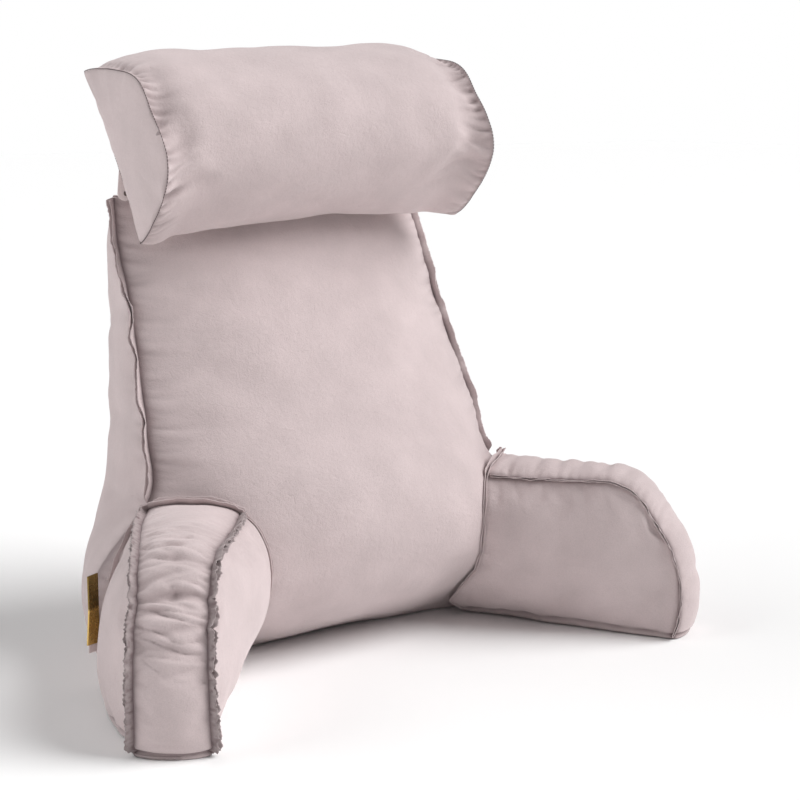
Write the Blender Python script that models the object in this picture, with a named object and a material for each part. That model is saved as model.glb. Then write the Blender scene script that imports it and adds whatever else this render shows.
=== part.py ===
"""Backrest pillow: a leaning back cushion with two arms, and a neck roll held on by snap tabs.

Metres, +Z up. The pillow faces -Y. The origin is on the floor under the middle of the back.
Every cushion starts as a cube cut by planes. A shape function moves each point of the cube,
so the cube's edges become the seams and its faces become the panels.
"""
import math
from collections import namedtuple

import bmesh
import bpy
from mathutils import Matrix, Vector
from mathutils.bvhtree import BVHTree

BACK_HEIGHT = 0.500          # floor to the top front seam of the back
REAR_DROP = 0.012            # the top rear seam lies this much lower
TOP_CROWN = 0.022            # how far the top panel swells up
ARM_HEIGHT = 0.178           # floor to the strip seams of an arm
ARM_TURN = math.radians(34.5)        # each arm splays out this far from straight ahead
ARM_SHIFT = -0.080           # the arms' own axes start this far in front of the origin
ARM_START = 0.090            # how far along its run an arm can begin, inside the back
ARM_ROOT_MOST = 0.200        # its root reaches no further forward than this
ROOT_GAP = 0.005             # the root's seam keeps this far from the back
ROOT_HOLLOW = 0.005          # its middle, hidden against the back, is this much further off
ROOT_LOW = 0.020             # below this height the root stands upright
ROOT_RIM = 0.035             # share of an arm's half length that the root flange's foot takes
ROOT_FLANGE_LEAN = 0.15      # the root flange leans forward by this share of its width
STRIP_TOP_SHARE = 0.62       # share of the strip's length that lies on top of the arm
ARM_BEND = 0.270             # where the strip starts to turn down
ARM_NOSE = 0.119             # the strip reaches this much further at the nose
NOSE_HEIGHT = 0.045          # height of the furthest point of the nose
NOSE_LOW = 0.120             # the nose turns back below that by an arc of this height
STRIP_CROWN = 0.012          # how far the strip swells between its seams
ROLL_HALF = 0.212            # middle of the neck roll to an end seam
ROLL_CENTRE = Vector((0.0, 0.015, 0.551))
ROLL_LEAN = math.radians(31.0)       # the roll's flat side leans back with the cushion
ROLL_TILT = math.radians(2.2)        # its right end lies a little higher
FLANGE = 0.008               # the seam flanges stand this proud
FLANGE_RUFFLE = 0.18         # share by which a flange's height comes and goes
BACK_WELT_FROM = 0.40        # the side welts of the back start at this share of its height
BACK_WELT_OUT = 0.8          # how far a back welt leans forward and up, to 1 sideways
ARM_FLANGE_OUT = 0.9         # how far a strip flange leans sideways, to 1 outward
ROOT_FLANGE_FROM = 0.15      # the root flange reaches its full height at this share of the root's
BACK_WELT_WAVES = 37.0       # ruffles: radians along the seam, to a share or a metre
ROOT_WAVES = 170.0
STRIP_WAVES = 260.0
RIM = 0.018                  # share of a panel's half width that a flange's foot takes
STRIP_RIM = 0.035            # the same on an arm's strip
PANEL_FALL = 0.6             # how steeply the panels of the back turn down to their seams
ARM_PANEL_FALL = 0.7
NOSE_FALL = 0.5              # an arm's side panels flatten towards its nose this steeply
FOLD_FALL = 0.3              # folds stay deep almost up to the strip's seams
FOLD_SPREAD = 1.3            # a fold's width in the cloth to its width in the table
FOLD_CUT = 1.5               # cuts beside a fold lie this many widths from its line
NOSE_TURN = 1.05             # the strip's top follows the nose's arc this much of the way
GAP = 0.0006                 # pieces that touch keep this far apart
BASE_RISE = 0.004            # the rims of the bases lift this much off the floor

BackRow = namedtuple(
    "BackRow", "lift half_width seam_y crown fall rear_half rear_y rear_crown side_bulge")
BACK_ROWS = (
    BackRow(0.00, 0.297, -0.111, -0.043, 2.4, 0.222, 0.045, 0.030, 0.000),
    BackRow(0.04, 0.306, -0.114, 0.001, 1.5, 0.236, 0.058, 0.036, 0.002),
    BackRow(0.14, 0.305, -0.102, 0.078, 0.8, 0.240, 0.060, 0.040, 0.004),
    BackRow(0.24, 0.295, -0.092, 0.104, 0.6, 0.228, 0.062, 0.042, 0.006),
    BackRow(0.38, 0.228, -0.080, 0.112, 0.6, 0.206, 0.066, 0.044, 0.006),
    BackRow(0.50, 0.218, -0.060, 0.088, 0.6, 0.196, 0.075, 0.044, 0.006),
    BackRow(0.62, 0.211, -0.033, 0.074, 0.6, 0.190, 0.085, 0.042, 0.006),
    BackRow(0.76, 0.204, -0.001, 0.066, 0.6, 0.183, 0.092, 0.038, 0.006),
    BackRow(0.90, 0.202, 0.031, 0.055, 0.6, 0.177, 0.100, 0.030, 0.006),
    BackRow(1.00, 0.196, 0.050, 0.034, 0.6, 0.172, 0.102, 0.020, 0.004),
)

ArmRow = namedtuple("ArmRow", "run inner outer base_inner base_outer inner_bulge outer_bulge")
ARM_ROWS = (
    ArmRow(0.090, 0.089, 0.188, 0.126, 0.218, 0.046, 0.020),
    ArmRow(0.150, 0.090, 0.187, 0.122, 0.217, 0.043, 0.020),
    ArmRow(0.210, 0.094, 0.183, 0.114, 0.214, 0.032, 0.020),
    ArmRow(0.290, 0.101, 0.176, 0.106, 0.198, 0.022, 0.016),
    ArmRow(0.345, 0.104, 0.173, 0.103, 0.182, 0.013, 0.010),
    ArmRow(0.390, 0.104, 0.173, 0.101, 0.173, 0.008, 0.006),
)

ALONG_CUTS = [-1 + ROOT_RIM, -0.9, -0.75, -0.5, -0.2, 0.1, 0.93]
UPWARD_CUTS = [-0.86, -0.66, -0.4, 0.0, 0.4, 0.8, 0.96]

Fold = namedtuple("Fold", "at depth slant width")
LEFT_FOLDS = (
    Fold(0.34, 0.0020, 0.03, 0.016),
    Fold(0.43, 0.0035, -0.02, 0.015),
    Fold(0.50, 0.0050, 0.03, 0.014),
    Fold(0.56, 0.0050, -0.03, 0.014),
    Fold(0.62, 0.0060, 0.02, 0.014),
    Fold(0.68, 0.0060, 0.03, 0.014),
    Fold(0.74, 0.0040, -0.03, 0.014),
)
RIGHT_FOLDS = (
    Fold(0.10, 0.0030, 0.02, 0.015),
    Fold(0.20, 0.0040, -0.02, 0.016),
    Fold(0.31, 0.0040, 0.02, 0.016),
    Fold(0.40, 0.0030, 0.03, 0.016),
    Fold(0.50, 0.0030, -0.03, 0.018),
    Fold(0.64, 0.0030, 0.02, 0.018),
    Fold(0.80, 0.0030, -0.02, 0.018),
)

RollRow = namedtuple("RollRow", "share front back top low corner pinch")
ROLL_ROWS = (
    RollRow(0.00, 0.096, 0.000, 0.103, 0.108, 0.80, 0.0030),
    RollRow(0.03, 0.100, 0.004, 0.105, 0.105, 0.82, 0.0026),
    RollRow(0.10, 0.107, 0.012, 0.108, 0.100, 0.86, 0.0012),
    RollRow(0.25, 0.115, 0.022, 0.111, 0.096, 0.92, 0.0000),
    RollRow(1.00, 0.120, 0.028, 0.113, 0.093, 0.96, 0.0000),
)
EndRow = namedtuple("EndRow", "degrees reach")
ROLL_END_ROWS = (            # outline of an end seam, from its foot round the front to its top
    EndRow(-90.0, 0.1016),
    EndRow(-65.0, 0.1072),
    EndRow(-48.0, 0.1178),
    EndRow(-36.0, 0.1252),
    EndRow(-28.0, 0.1246),
    EndRow(-19.0, 0.1192),
    EndRow(-1.0, 0.1090),
    EndRow(14.0, 0.1092),
    EndRow(24.0, 0.1074),
    EndRow(42.0, 0.0987),
    EndRow(56.0, 0.0963),
    EndRow(70.0, 0.0987),
    EndRow(90.0, 0.1100),
)
ROLL_END_HOLLOW = 0.006      # its flat side bows in this far at the ends
ROLL_END_FADE = 10           # how soon the roll leaves the outline of its ends
ROLL_TOP_SLACK = 0.10        # the roll's front leans in by this share towards its top
ROLL_SIDES = 56
ROLL_END_CROWN = 0.006
ROLL_END_RINGS = (0.96, 0.70, 0.35)  # sizes of the rings in an end panel

TAB_X = 0.190                # middle of the pillow to the middle of a tab
TAB_END = Vector((0.0335, 0.497))     # (y, z) of a tab's round end
TAB_LENGTH = 0.062
TAB_WIDTH = 0.020
TAB_THICKNESS = 0.002
TAB_ROUND_SHARE = 0.16
TAB_BLUNT = 0.12             # share of its width at the very end of its round end
TAB_CUTS = ([-0.5, 0.0, 0.5], [], [-0.97, -0.9, -0.8, -0.66, -0.5, -0.2, 0.2, 0.6])
TAB_LEAN = math.radians(12.0)
SNAP_UP = 0.009              # a snap sits this far above the tab's round end
SNAP_RADIUS = 0.0032
SNAP_HEIGHT = 0.0014
SNAP_TAPER = 0.7             # the stud's face to its foot

PLATE = Vector((0.017, 0.0020, 0.074))       # the label plate: outward, through, up
RIBBON = Vector((0.012, 0.0012, 0.082))
RIBBON_SHOWS = 0.010         # the ribbon shows this far below the plate
LABEL_FOOT = Vector((-0.3058, -0.1124, 0.0))
LABEL_TURN = math.radians(29.0)
LABEL_LOW = 0.053
LABEL_BEND = 0.003           # the plate's lower half turns this far at its free edge
BEND_SHARE = 0.5             # share of the plate's height below its bend

MAUVE = (0.56, 0.47, 0.47)
PALE = (0.80, 0.73, 0.72)
GOLD = (0.72, 0.50, 0.20)
STUD = (0.40, 0.36, 0.35)


def row_at(rows, place):
    """The row at a place in the first column's range, on smooth curves through the rows."""
    last = len(rows) - 1
    first = max(k for k in range(last) if k == 0 or rows[k][0] <= place)
    start, end = rows[first], rows[first + 1]
    before, after = rows[max(first - 1, 0)], rows[min(first + 2, last)]
    span = end[0] - start[0]
    t = min(max((place - start[0]) / span, 0.0), 1.0)
    values = []
    for column in range(len(start)):
        slope_in = (end[column] - before[column]) / (end[0] - before[0]) * span
        slope_out = (after[column] - start[column]) / (after[0] - start[0]) * span
        values.append(
            start[column] * (2 * t**3 - 3 * t**2 + 1)
            + end[column] * (3 * t**2 - 2 * t**3)
            + slope_in * (t**3 - 2 * t**2 + t)
            + slope_out * (t**3 - t**2)
        )
    return type(start)(*values)


def swell(t, power=PANEL_FALL):
    """1 in the middle of a panel and 0 on its seams, steepest beside them."""
    inner = min(abs(t) / (1 - RIM), 1.0)
    return (1 - inner * inner) ** power


def mix(a, b, t):
    return a + (b - a) * t


def polar(degrees, reach):
    angle = math.radians(degrees)
    return reach * math.cos(angle), reach * math.sin(angle)


def seam_cuts(count, rim=RIM):
    """Places across a panel, closer together where the cloth turns down to its seams."""
    return [-(1 - rim) * math.cos(math.pi * k / count) for k in range(count + 1)]


def sewn_box(cuts, shape):
    """A cube cut by planes at the given places, its points then moved by the shape."""
    bm = bmesh.new()
    bmesh.ops.create_cube(bm, size=2)
    for axis, places in enumerate(cuts):
        normal = Vector([1.0 if axis == k else 0.0 for k in range(3)])
        for place in places:
            geometry = bm.verts[:] + bm.edges[:] + bm.faces[:]
            bmesh.ops.bisect_plane(bm, geom=geometry, plane_co=normal * place, plane_no=normal)
    for vert in bm.verts:
        vert.co = shape(*vert.co)
    face_outwards(bm)
    return bm


def face_outwards(bm):
    bmesh.ops.recalc_face_normals(bm, faces=bm.faces)
    if bm.calc_volume(signed=True) < 0:
        bmesh.ops.reverse_faces(bm, faces=bm.faces)


def spaced(places, least=0.025):
    """Cuts in order, without those that nearly meet."""
    kept = []
    for place in sorted(places):
        if not kept or place - kept[-1] > least:
            kept.append(place)
    return kept


def cloth_material(name, colour, roughness=0.85, metallic=0.0):
    material = bpy.data.materials.get(name)
    if material is None:
        material = bpy.data.materials.new(name)
        material.use_nodes = True
        shader = material.node_tree.nodes["Principled BSDF"]
        shader.inputs["Base Color"].default_value = (*colour, 1.0)
        shader.inputs["Roughness"].default_value = roughness
        shader.inputs["Metallic"].default_value = metallic
    return material


def add_object(name, bm, material):
    mesh = bpy.data.meshes.new(name)
    bm.to_mesh(mesh)
    bm.free()
    mesh.shade_smooth()
    mesh.materials.append(material)
    piece = bpy.data.objects.new(name, mesh)
    bpy.context.scene.collection.objects.link(piece)
    return piece


def flange_push(outward, along, count, height=FLANGE):
    """How far a point on a seam's edge is pulled out, with the flange's light ruffle."""
    return outward.normalized() * height * (1 + FLANGE_RUFFLE * math.sin(along * count))


def back_point(u, v, w):
    """Back cushion: u left to right, v front to rear, w base to top, each from -1 to 1."""
    row = row_at(BACK_ROWS, (w + 1) / 2)
    depth = (v + 1) / 2
    height = row.lift * (BACK_HEIGHT - REAR_DROP * depth)
    front = row.seam_y - row.crown * swell(u, row.fall)
    rear = row.rear_y + row.rear_crown * swell(u)
    x = mix(row.half_width, row.rear_half, depth) * u + row.side_bulge * swell(v) * u**5
    point = Vector((x, mix(front, rear, depth), height))
    if w == 1:
        point.z += TOP_CROWN * swell(u) * swell(v)
    if w == -1:
        point.z = BASE_RISE if max(abs(u), abs(v)) == 1 else 0.0
    on_side_welt = v == -1 and abs(u) == 1 and row.lift > BACK_WELT_FROM
    on_top_welt = v == -1 and w == 1
    if on_side_welt or on_top_welt:
        rise = BACK_WELT_OUT if w == 1 else 0.0
        outward = Vector((u if abs(u) == 1 else 0.0, -BACK_WELT_OUT, rise))
        point += flange_push(outward, row.lift + u, BACK_WELT_WAVES)
    return point


def build_back():
    lifts = [row.lift * 2 - 1 for row in BACK_ROWS[1:-1]]
    lifts += [mix(a, b, 0.5) for a, b in zip(lifts[1:], lifts[2:])] + [0.92, 1 - RIM]
    bm = sewn_box((seam_cuts(18), seam_cuts(8), sorted(lifts)), back_point)
    return add_object("back_cushion", bm, cloth_material("mauve peach skin", MAUVE))


def nose_arc(angle, height=ARM_HEIGHT):
    """A point of the arm's side outline on its rounded front: (run, height)."""
    rise = height - NOSE_HEIGHT if angle > 0 else NOSE_LOW
    return (ARM_BEND + ARM_NOSE * math.cos(angle), NOSE_HEIGHT + rise * math.sin(angle))


NOSE_TOP_ANGLE = math.radians(46)
NOSE_BASE_ANGLE = -math.asin(NOSE_HEIGHT / NOSE_LOW)


def arm_top(t):
    """Top of the side outline, from the root to the turn of the nose."""
    straight = ARM_BEND - ARM_START
    arc = ARM_NOSE * (math.pi / 2 - NOSE_TOP_ANGLE) * NOSE_TURN
    run = t * (straight + arc)
    if run <= straight:
        return (ARM_START + run, ARM_HEIGHT)
    return nose_arc(mix(math.pi / 2, NOSE_TOP_ANGLE, (run - straight) / arc))


def arm_front(t):
    """Front of the side outline, from the floor to the turn of the nose."""
    return nose_arc(mix(NOSE_BASE_ANGLE, NOSE_TOP_ANGLE, t))


def arm_outline(s, t):
    """A point inside the side outline: s from root to front, t from base to top."""
    base_run = nose_arc(NOSE_BASE_ANGLE)[0]
    base = (mix(ARM_START, base_run, s), 0.0)
    root = (ARM_START, ARM_HEIGHT * t)
    top, front = arm_top(s), arm_front(t)
    shares = ((1 - s) * (1 - t), s * (1 - t), (1 - s) * t, s * t)
    corners = ((ARM_START, 0.0), (base_run, 0.0), (ARM_START, ARM_HEIGHT), arm_top(1.0))
    return [
        mix(base[k], top[k], t) + mix(root[k], front[k], s)
        - sum(share * corner[k] for share, corner in zip(shares, corners))
        for k in range(2)
    ]


def fold_depth(folds, along, across):
    """How far the strip sinks at a place, for the folds that cross it."""
    depth = 0.0
    for fold in folds:
        off = (along - fold.at - fold.slant * across) / (fold.width * FOLD_SPREAD)
        depth += fold.depth * math.exp(-off * off)
    return depth


def arm_place(side, run, lateral, height):
    """Turns a place along, across and up an arm into the pillow's own axes."""
    x = run * math.sin(ARM_TURN) + lateral * math.cos(ARM_TURN)
    y = -run * math.cos(ARM_TURN) + lateral * math.sin(ARM_TURN) + ARM_SHIFT
    return Vector((side * x, y, height))


def root_run(back, side, lateral, height):
    """How far along its run an arm meets the back, found by looking from the nose to the back."""
    start = arm_place(side, ARM_BEND, lateral, max(height, ROOT_LOW))
    heading = arm_place(side, 0.0, lateral, 0.0) - arm_place(side, 1.0, lateral, 0.0)
    hit = back.ray_cast(start, heading)[0]
    if hit is None:
        return ARM_ROOT_MOST
    met = ARM_BEND - (hit - start).length + ROOT_GAP
    return min(max(met, ARM_START), ARM_ROOT_MOST)


def arm_shape(side, folds, back):
    """The shape function of one arm: u inner to outer, v root to front, w base to top."""
    def shape(u, v, w):
        s, t = (v + 1) / 2, (w + 1) / 2
        run, height = arm_outline(s, t)
        row = row_at(ARM_ROWS, run)
        inner = mix(row.base_inner, row.inner, t)
        outer = mix(row.base_outer, row.outer, t)
        fade = 1.0 if s < 0.5 else swell(2 * s - 1, NOSE_FALL)
        inner -= row.inner_bulge * swell(w, ARM_PANEL_FALL) * fade
        outer += row.outer_bulge * swell(w, ARM_PANEL_FALL) * fade
        lateral = mix(inner, outer, (u + 1) / 2)
        run += (root_run(back, side, lateral, height) - ARM_START) * (1 - s)
        if v == -1:
            run += ROOT_HOLLOW * swell(u) * swell(w)
        on_strip = w == 1 or v == 1
        slope = Vector((0.0, 0.0, 1.0))
        if run > ARM_BEND:
            slope = Vector((run - ARM_BEND, 0.0, max(height - NOSE_HEIGHT, -0.01))).normalized()
        if on_strip:
            along = s * STRIP_TOP_SHARE if w == 1 else 1 - t * (1 - STRIP_TOP_SHARE)
            lift = STRIP_CROWN * swell(u) - fold_depth(folds, along, u) * swell(u, FOLD_FALL)
            run += slope.x * lift
            height += slope.z * lift
        push = Vector()
        if v == -1 and (abs(u) == 1 or w == 1):
            around = Vector((ROOT_FLANGE_LEAN, u if abs(u) == 1 else 0.0, 1.0 if w == 1 else 0.0))
            grown = FLANGE * min(1.0, t / ROOT_FLANGE_FROM)
            push = flange_push(around, run + height * 2, ROOT_WAVES, grown)
        elif abs(u) == 1 and on_strip:
            outward = Vector((slope.x, u * ARM_FLANGE_OUT, slope.z))
            push = flange_push(outward, run + height, STRIP_WAVES)
        place = arm_place(side, run + push.x, lateral + push.y, height + push.z)
        if w == -1:
            place.z = BASE_RISE if abs(u) == 1 or v == 1 else 0.0
        return place
    return shape


def fold_cuts(folds, first, last):
    """Cuts from -1 to 1 on each fold's line and beside it, for a part of the strip's length."""
    places = []
    for fold in folds:
        for step in (-1, 0, 1):
            share = (fold.at + step * fold.width * FOLD_CUT - first) / (last - first)
            if 0.03 < share < 0.97:
                places.append(mix(-1, 1, share))
    return places


def build_arm(name, side, folds, back):
    along = fold_cuts(folds, 0.0, STRIP_TOP_SHARE) + ALONG_CUTS
    upward = fold_cuts(folds, 1.0, STRIP_TOP_SHARE) + UPWARD_CUTS
    shape = arm_shape(side, folds, back)
    bm = sewn_box((seam_cuts(6, STRIP_RIM), spaced(along), spaced(upward)), shape)
    return add_object(name, bm, cloth_material("mauve peach skin", MAUVE))


def roll_point(share, index, at_end):
    """A point of the roll's D-shaped section: share 0 at an end seam and 1 in the middle."""
    row = row_at(ROLL_ROWS, share)
    angle = 2 * math.pi * index / ROLL_SIDES
    forward, up = math.cos(angle), math.sin(angle)
    reach = row.front * (1 - ROLL_TOP_SLACK * max(up, 0.0)) if forward > 0 else row.back
    grow = 1 - (row.pinch / row.front if index % 2 and not at_end else 0.0)
    out = reach * math.copysign(abs(forward) ** row.corner, forward)
    rise = up * (row.top if up > 0 else row.low)
    seam_rise = up * (ROLL_END_ROWS[-1].reach if up > 0 else ROLL_END_ROWS[0].reach)
    seam_out = -ROLL_END_HOLLOW * forward
    if forward > 0:
        degrees = math.degrees(math.asin(up))
        seam_out, seam_rise = polar(degrees, row_at(ROLL_END_ROWS, degrees).reach)
    keep = (1 - share) ** ROLL_END_FADE
    return Vector((0.0, -mix(out, seam_out, keep) * grow, mix(rise, seam_rise, keep) * grow))


def build_roll():
    """Rings from end to end, joined into a tube, with a lightly crowned panel on each end."""
    bm = bmesh.new()
    shares = [row.share for row in ROLL_ROWS[:-1]] + [0.45, 0.70]
    stations = [(-1, share) for share in shares] + [(0, 1.0)]
    stations += [(1, share) for share in reversed(shares)]
    lean = Matrix.Rotation(-ROLL_TILT, 3, "Y") @ Matrix.Rotation(-ROLL_LEAN, 3, "X")
    rings = []
    for side, share in stations:
        ring = []
        for index in range(ROLL_SIDES):
            point = roll_point(share, index, share == 0)
            point.x = side * ROLL_HALF * (1 - share)
            ring.append(bm.verts.new(lean @ point + ROLL_CENTRE))
        rings.append(ring)
    for ring, following in zip(rings, rings[1:]):
        for k in range(ROLL_SIDES):
            after = (k + 1) % ROLL_SIDES
            bm.faces.new((ring[k], ring[after], following[after], following[k]))
    for side, ring in ((-1, rings[0]), (1, rings[-1])):
        close_end(bm, ring, side)
    face_outwards(bm)
    return add_object("neck_roll", bm, cloth_material("mauve peach skin", MAUVE))


def close_end(bm, ring, side):
    """An end panel: smaller rings towards its middle, swelling out by the end crown."""
    middle = sum((vert.co for vert in ring), Vector()) / len(ring)
    outer = ring
    for shrink in ROLL_END_RINGS:
        inner = []
        for vert in ring:
            point = middle.lerp(vert.co, shrink)
            point.x += side * ROLL_END_CROWN * (1 - shrink**2)
            inner.append(bm.verts.new(point))
        for k in range(len(ring)):
            after = (k + 1) % len(ring)
            bm.faces.new((outer[k], outer[after], inner[after], inner[k]))
        outer = inner
    bm.faces.new(outer)


def cut_clear(piece, source):
    """Where a piece presses into its neighbour, it takes the neighbour's shape less a gap."""
    bm = bmesh.new()
    bm.from_mesh(source.data)
    bm.normal_update()
    for vert in bm.verts:
        vert.co += vert.normal * GAP
    cutter = add_object(f"{source.name}_clearance", bm, source.data.materials[0])
    cutter.hide_render = True
    cutter.display_type = "WIRE"
    modifier = piece.modifiers.new(f"clear of {source.name}", "BOOLEAN")
    modifier.operation = "DIFFERENCE"
    modifier.solver = "EXACT"
    modifier.object = cutter


def tab_point(side, u, v, w):
    """A snap tab: u across its width, v through its cloth, w from its round end up to the roll."""
    t = (w + 1) / 2
    narrow = math.sqrt(1 - max(0.0, 1 - t / TAB_ROUND_SHARE) ** 2)
    drop = TAB_LENGTH * t
    x = side * TAB_X + u * TAB_WIDTH / 2 * max(narrow, TAB_BLUNT)
    lean = Matrix.Rotation(TAB_LEAN, 3, "X")
    return Vector((x, TAB_END.x, TAB_END.y)) + lean @ Vector((0.0, v * TAB_THICKNESS / 2, drop))


def build_tab(name, side):
    bm = sewn_box(TAB_CUTS, lambda u, v, w: tab_point(side, u, v, w))
    return add_object(name, bm, cloth_material("pale tab cloth", PALE))


def build_snap(name, side):
    """A press stud on the front of a tab, its axis square to the tab."""
    bm = bmesh.new()
    centre = tab_point(side, 0.0, -1.0, 2 * SNAP_UP / TAB_LENGTH - 1)
    out = Matrix.Rotation(TAB_LEAN, 3, "X") @ Vector((0.0, -1.0, 0.0))
    turn = out.to_track_quat("Z", "Y").to_matrix().to_4x4()
    place = Matrix.Translation(centre + out * (SNAP_HEIGHT / 2 + GAP)) @ turn
    bmesh.ops.create_cone(bm, cap_ends=True, segments=16, radius1=SNAP_RADIUS,
                          radius2=SNAP_RADIUS * SNAP_TAPER, depth=SNAP_HEIGHT, matrix=place)
    return add_object(name, bm, cloth_material("snap metal", STUD, 0.35, 0.9))


def tag_point(u, v, w, size, sunk, low):
    """The label stands out of the arm's root seam: u outward, v through it, w up."""
    out = Vector((-math.cos(LABEL_TURN), -math.sin(LABEL_TURN), 0.0))
    through = Vector((-out.y, out.x, 0.0))
    t = (w + 1) / 2
    bend = LABEL_BEND * max(0.0, 1 - t / BEND_SHARE)
    place = LABEL_FOOT + out * (size.x * (u + 1) / 2)
    place += through * (sunk + size.y * v / 2 - bend * (u + 1) / 2)
    place.z = low + size.z * t
    return place


def build_label():
    plate = sewn_box(([0.0], [], [-0.5, 0.0]), lambda u, v, w: tag_point(u, v, w, PLATE, 0.0, LABEL_LOW))
    behind = -(PLATE.y / 2 + RIBBON.y / 2 + GAP)
    low = LABEL_LOW - RIBBON_SHOWS
    ribbon = sewn_box(([], [], [-0.5, 0.0]), lambda u, v, w: tag_point(u, v, w, RIBBON, behind, low))
    add_object("label_plate", plate, cloth_material("gold plate", GOLD, 0.25, 1.0))
    add_object("label_ribbon", ribbon, cloth_material("pale tab cloth", PALE))


def main():
    for old in list(bpy.data.objects):
        bpy.data.objects.remove(old)
    back = build_back()
    surface = BVHTree.FromPolygons([v.co for v in back.data.vertices],
                                   [p.vertices for p in back.data.polygons])
    roll = build_roll()
    cut_clear(roll, back)
    build_arm("arm_left", -1, LEFT_FOLDS, surface)
    build_arm("arm_right", 1, RIGHT_FOLDS, surface)
    for name, side in (("left", -1), ("right", 1)):
        cut_clear(roll, build_tab(f"tab_{name}", side))
        build_snap(f"snap_{name}", side)
    build_label()


main()
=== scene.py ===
"""Looks for the backrest pillow: peach-skin cushions, ruffled seams, snap tabs and a bare plate.

Metres, +Z up. The pillow faces -Y and its origin is on the floor under the middle of the back.
"""
import math
import random
from collections import namedtuple

import bpy
import numpy as np
from mathutils import Matrix, Vector, noise
from mathutils.bvhtree import BVHTree


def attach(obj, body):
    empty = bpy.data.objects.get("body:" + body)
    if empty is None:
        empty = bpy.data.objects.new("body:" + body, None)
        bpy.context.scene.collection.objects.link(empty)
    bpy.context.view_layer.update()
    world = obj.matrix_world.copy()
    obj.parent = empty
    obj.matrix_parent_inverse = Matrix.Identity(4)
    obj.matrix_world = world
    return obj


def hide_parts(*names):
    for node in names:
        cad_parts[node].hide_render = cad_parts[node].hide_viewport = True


bl_info = {
    "name": "Backrest Pillow",
    "version": (1, 0, 0),
    "blender": (4, 5, 0),
    "location": "3D View > Sidebar > Pillow",
    "description": "Dresses a backrest pillow with arms and a neck roll",
    "category": "Object",
}

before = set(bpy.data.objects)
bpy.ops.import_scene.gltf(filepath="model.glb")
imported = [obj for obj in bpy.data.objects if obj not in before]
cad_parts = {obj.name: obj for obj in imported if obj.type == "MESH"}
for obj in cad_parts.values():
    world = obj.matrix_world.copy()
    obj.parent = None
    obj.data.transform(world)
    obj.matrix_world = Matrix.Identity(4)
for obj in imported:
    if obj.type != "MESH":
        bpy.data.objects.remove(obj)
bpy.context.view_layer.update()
BODY = "root"

# Back cushion
BACK_HEIGHT = 0.500          # floor to the top front seam
REAR_DROP = 0.012            # the top rear seam lies this much lower
TOP_CROWN = 0.022            # how far the top panel swells up
BASE_RISE = 0.004            # the rims of the bases lift this much off the floor
RIM_POWER = 40               # and the lift stays this close to the rims
BackRow = namedtuple(
    "BackRow", "lift half_width seam_y crown fall rear_half rear_y rear_crown side_bulge")
BACK_ROWS = (
    BackRow(0.00, 0.297, -0.111, -0.043, 2.4, 0.222, 0.045, 0.030, 0.000),
    BackRow(0.04, 0.306, -0.114, 0.001, 1.5, 0.236, 0.058, 0.036, 0.002),
    BackRow(0.14, 0.305, -0.102, 0.078, 0.8, 0.240, 0.060, 0.040, 0.004),
    BackRow(0.24, 0.295, -0.092, 0.104, 0.6, 0.228, 0.062, 0.042, 0.006),
    BackRow(0.38, 0.228, -0.080, 0.112, 0.6, 0.206, 0.066, 0.044, 0.006),
    BackRow(0.50, 0.218, -0.060, 0.088, 0.6, 0.196, 0.075, 0.044, 0.006),
    BackRow(0.62, 0.211, -0.033, 0.074, 0.6, 0.190, 0.085, 0.042, 0.006),
    BackRow(0.76, 0.204, -0.001, 0.066, 0.6, 0.183, 0.092, 0.038, 0.006),
    BackRow(0.90, 0.202, 0.031, 0.055, 0.6, 0.177, 0.100, 0.030, 0.006),
    BackRow(1.00, 0.196, 0.050, 0.034, 0.6, 0.172, 0.102, 0.020, 0.004),
)

# Arms
ARM_HEIGHT = 0.178           # floor to the strip seams
ARM_TURN = math.radians(34.5)        # each arm splays out this far from straight ahead
ARM_SHIFT = -0.080           # the arms' own axes start this far in front of the origin
ARM_START = 0.090            # how far along its run an arm can begin
ARM_ROOT_MOST = 0.200        # its root reaches no further forward than this
ROOT_GAP = 0.005             # the root keeps this far from the back
ROOT_LOW = 0.020             # below this height the root stands upright
ARM_BEND = 0.270             # where the strip starts to turn down
ARM_NOSE = 0.119             # the strip reaches this much further at the nose
NOSE_HEIGHT = 0.045          # height of the furthest point of the nose
NOSE_LOW = 0.120             # the nose turns back below that by an arc of this height
NOSE_TOP_ANGLE = math.radians(46)
NOSE_BASE_ANGLE = -math.asin(NOSE_HEIGHT / NOSE_LOW)
STRIP_CROWN = 0.012          # how far the strip swells between its seams
PANEL_FALL = 0.6             # how steeply the panels turn down to their seams
ARM_PANEL_FALL = 0.7
NOSE_FALL = 0.5              # an arm's side panels flatten towards its nose this steeply
NOSE_TURN = 1.05             # the strip's top follows the nose's arc this much of the way
NOSE_DROP_LEAST = -0.01      # the strip's swelling leans down no further than this
STRIP_HALF = 0.042           # half the strip's width in the cloth
TOP_RUN = 0.225              # length of the strip on top of the arm
FRONT_RUN = 0.150            # and down its front
ArmRow = namedtuple("ArmRow", "run inner outer base_inner base_outer inner_bulge outer_bulge")
ARM_ROWS = (
    ArmRow(0.090, 0.089, 0.188, 0.126, 0.218, 0.046, 0.020),
    ArmRow(0.150, 0.090, 0.187, 0.122, 0.217, 0.043, 0.020),
    ArmRow(0.210, 0.094, 0.183, 0.114, 0.214, 0.032, 0.020),
    ArmRow(0.290, 0.101, 0.176, 0.106, 0.198, 0.022, 0.016),
    ArmRow(0.345, 0.104, 0.173, 0.103, 0.182, 0.013, 0.010),
    ArmRow(0.390, 0.104, 0.173, 0.101, 0.173, 0.008, 0.006),
)

HEM_UP = 0.008               # the base seam runs round an arm this far above the floor
HEM_WIDTH = 0.0026
HEM_DEPTH = 0.0022

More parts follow.
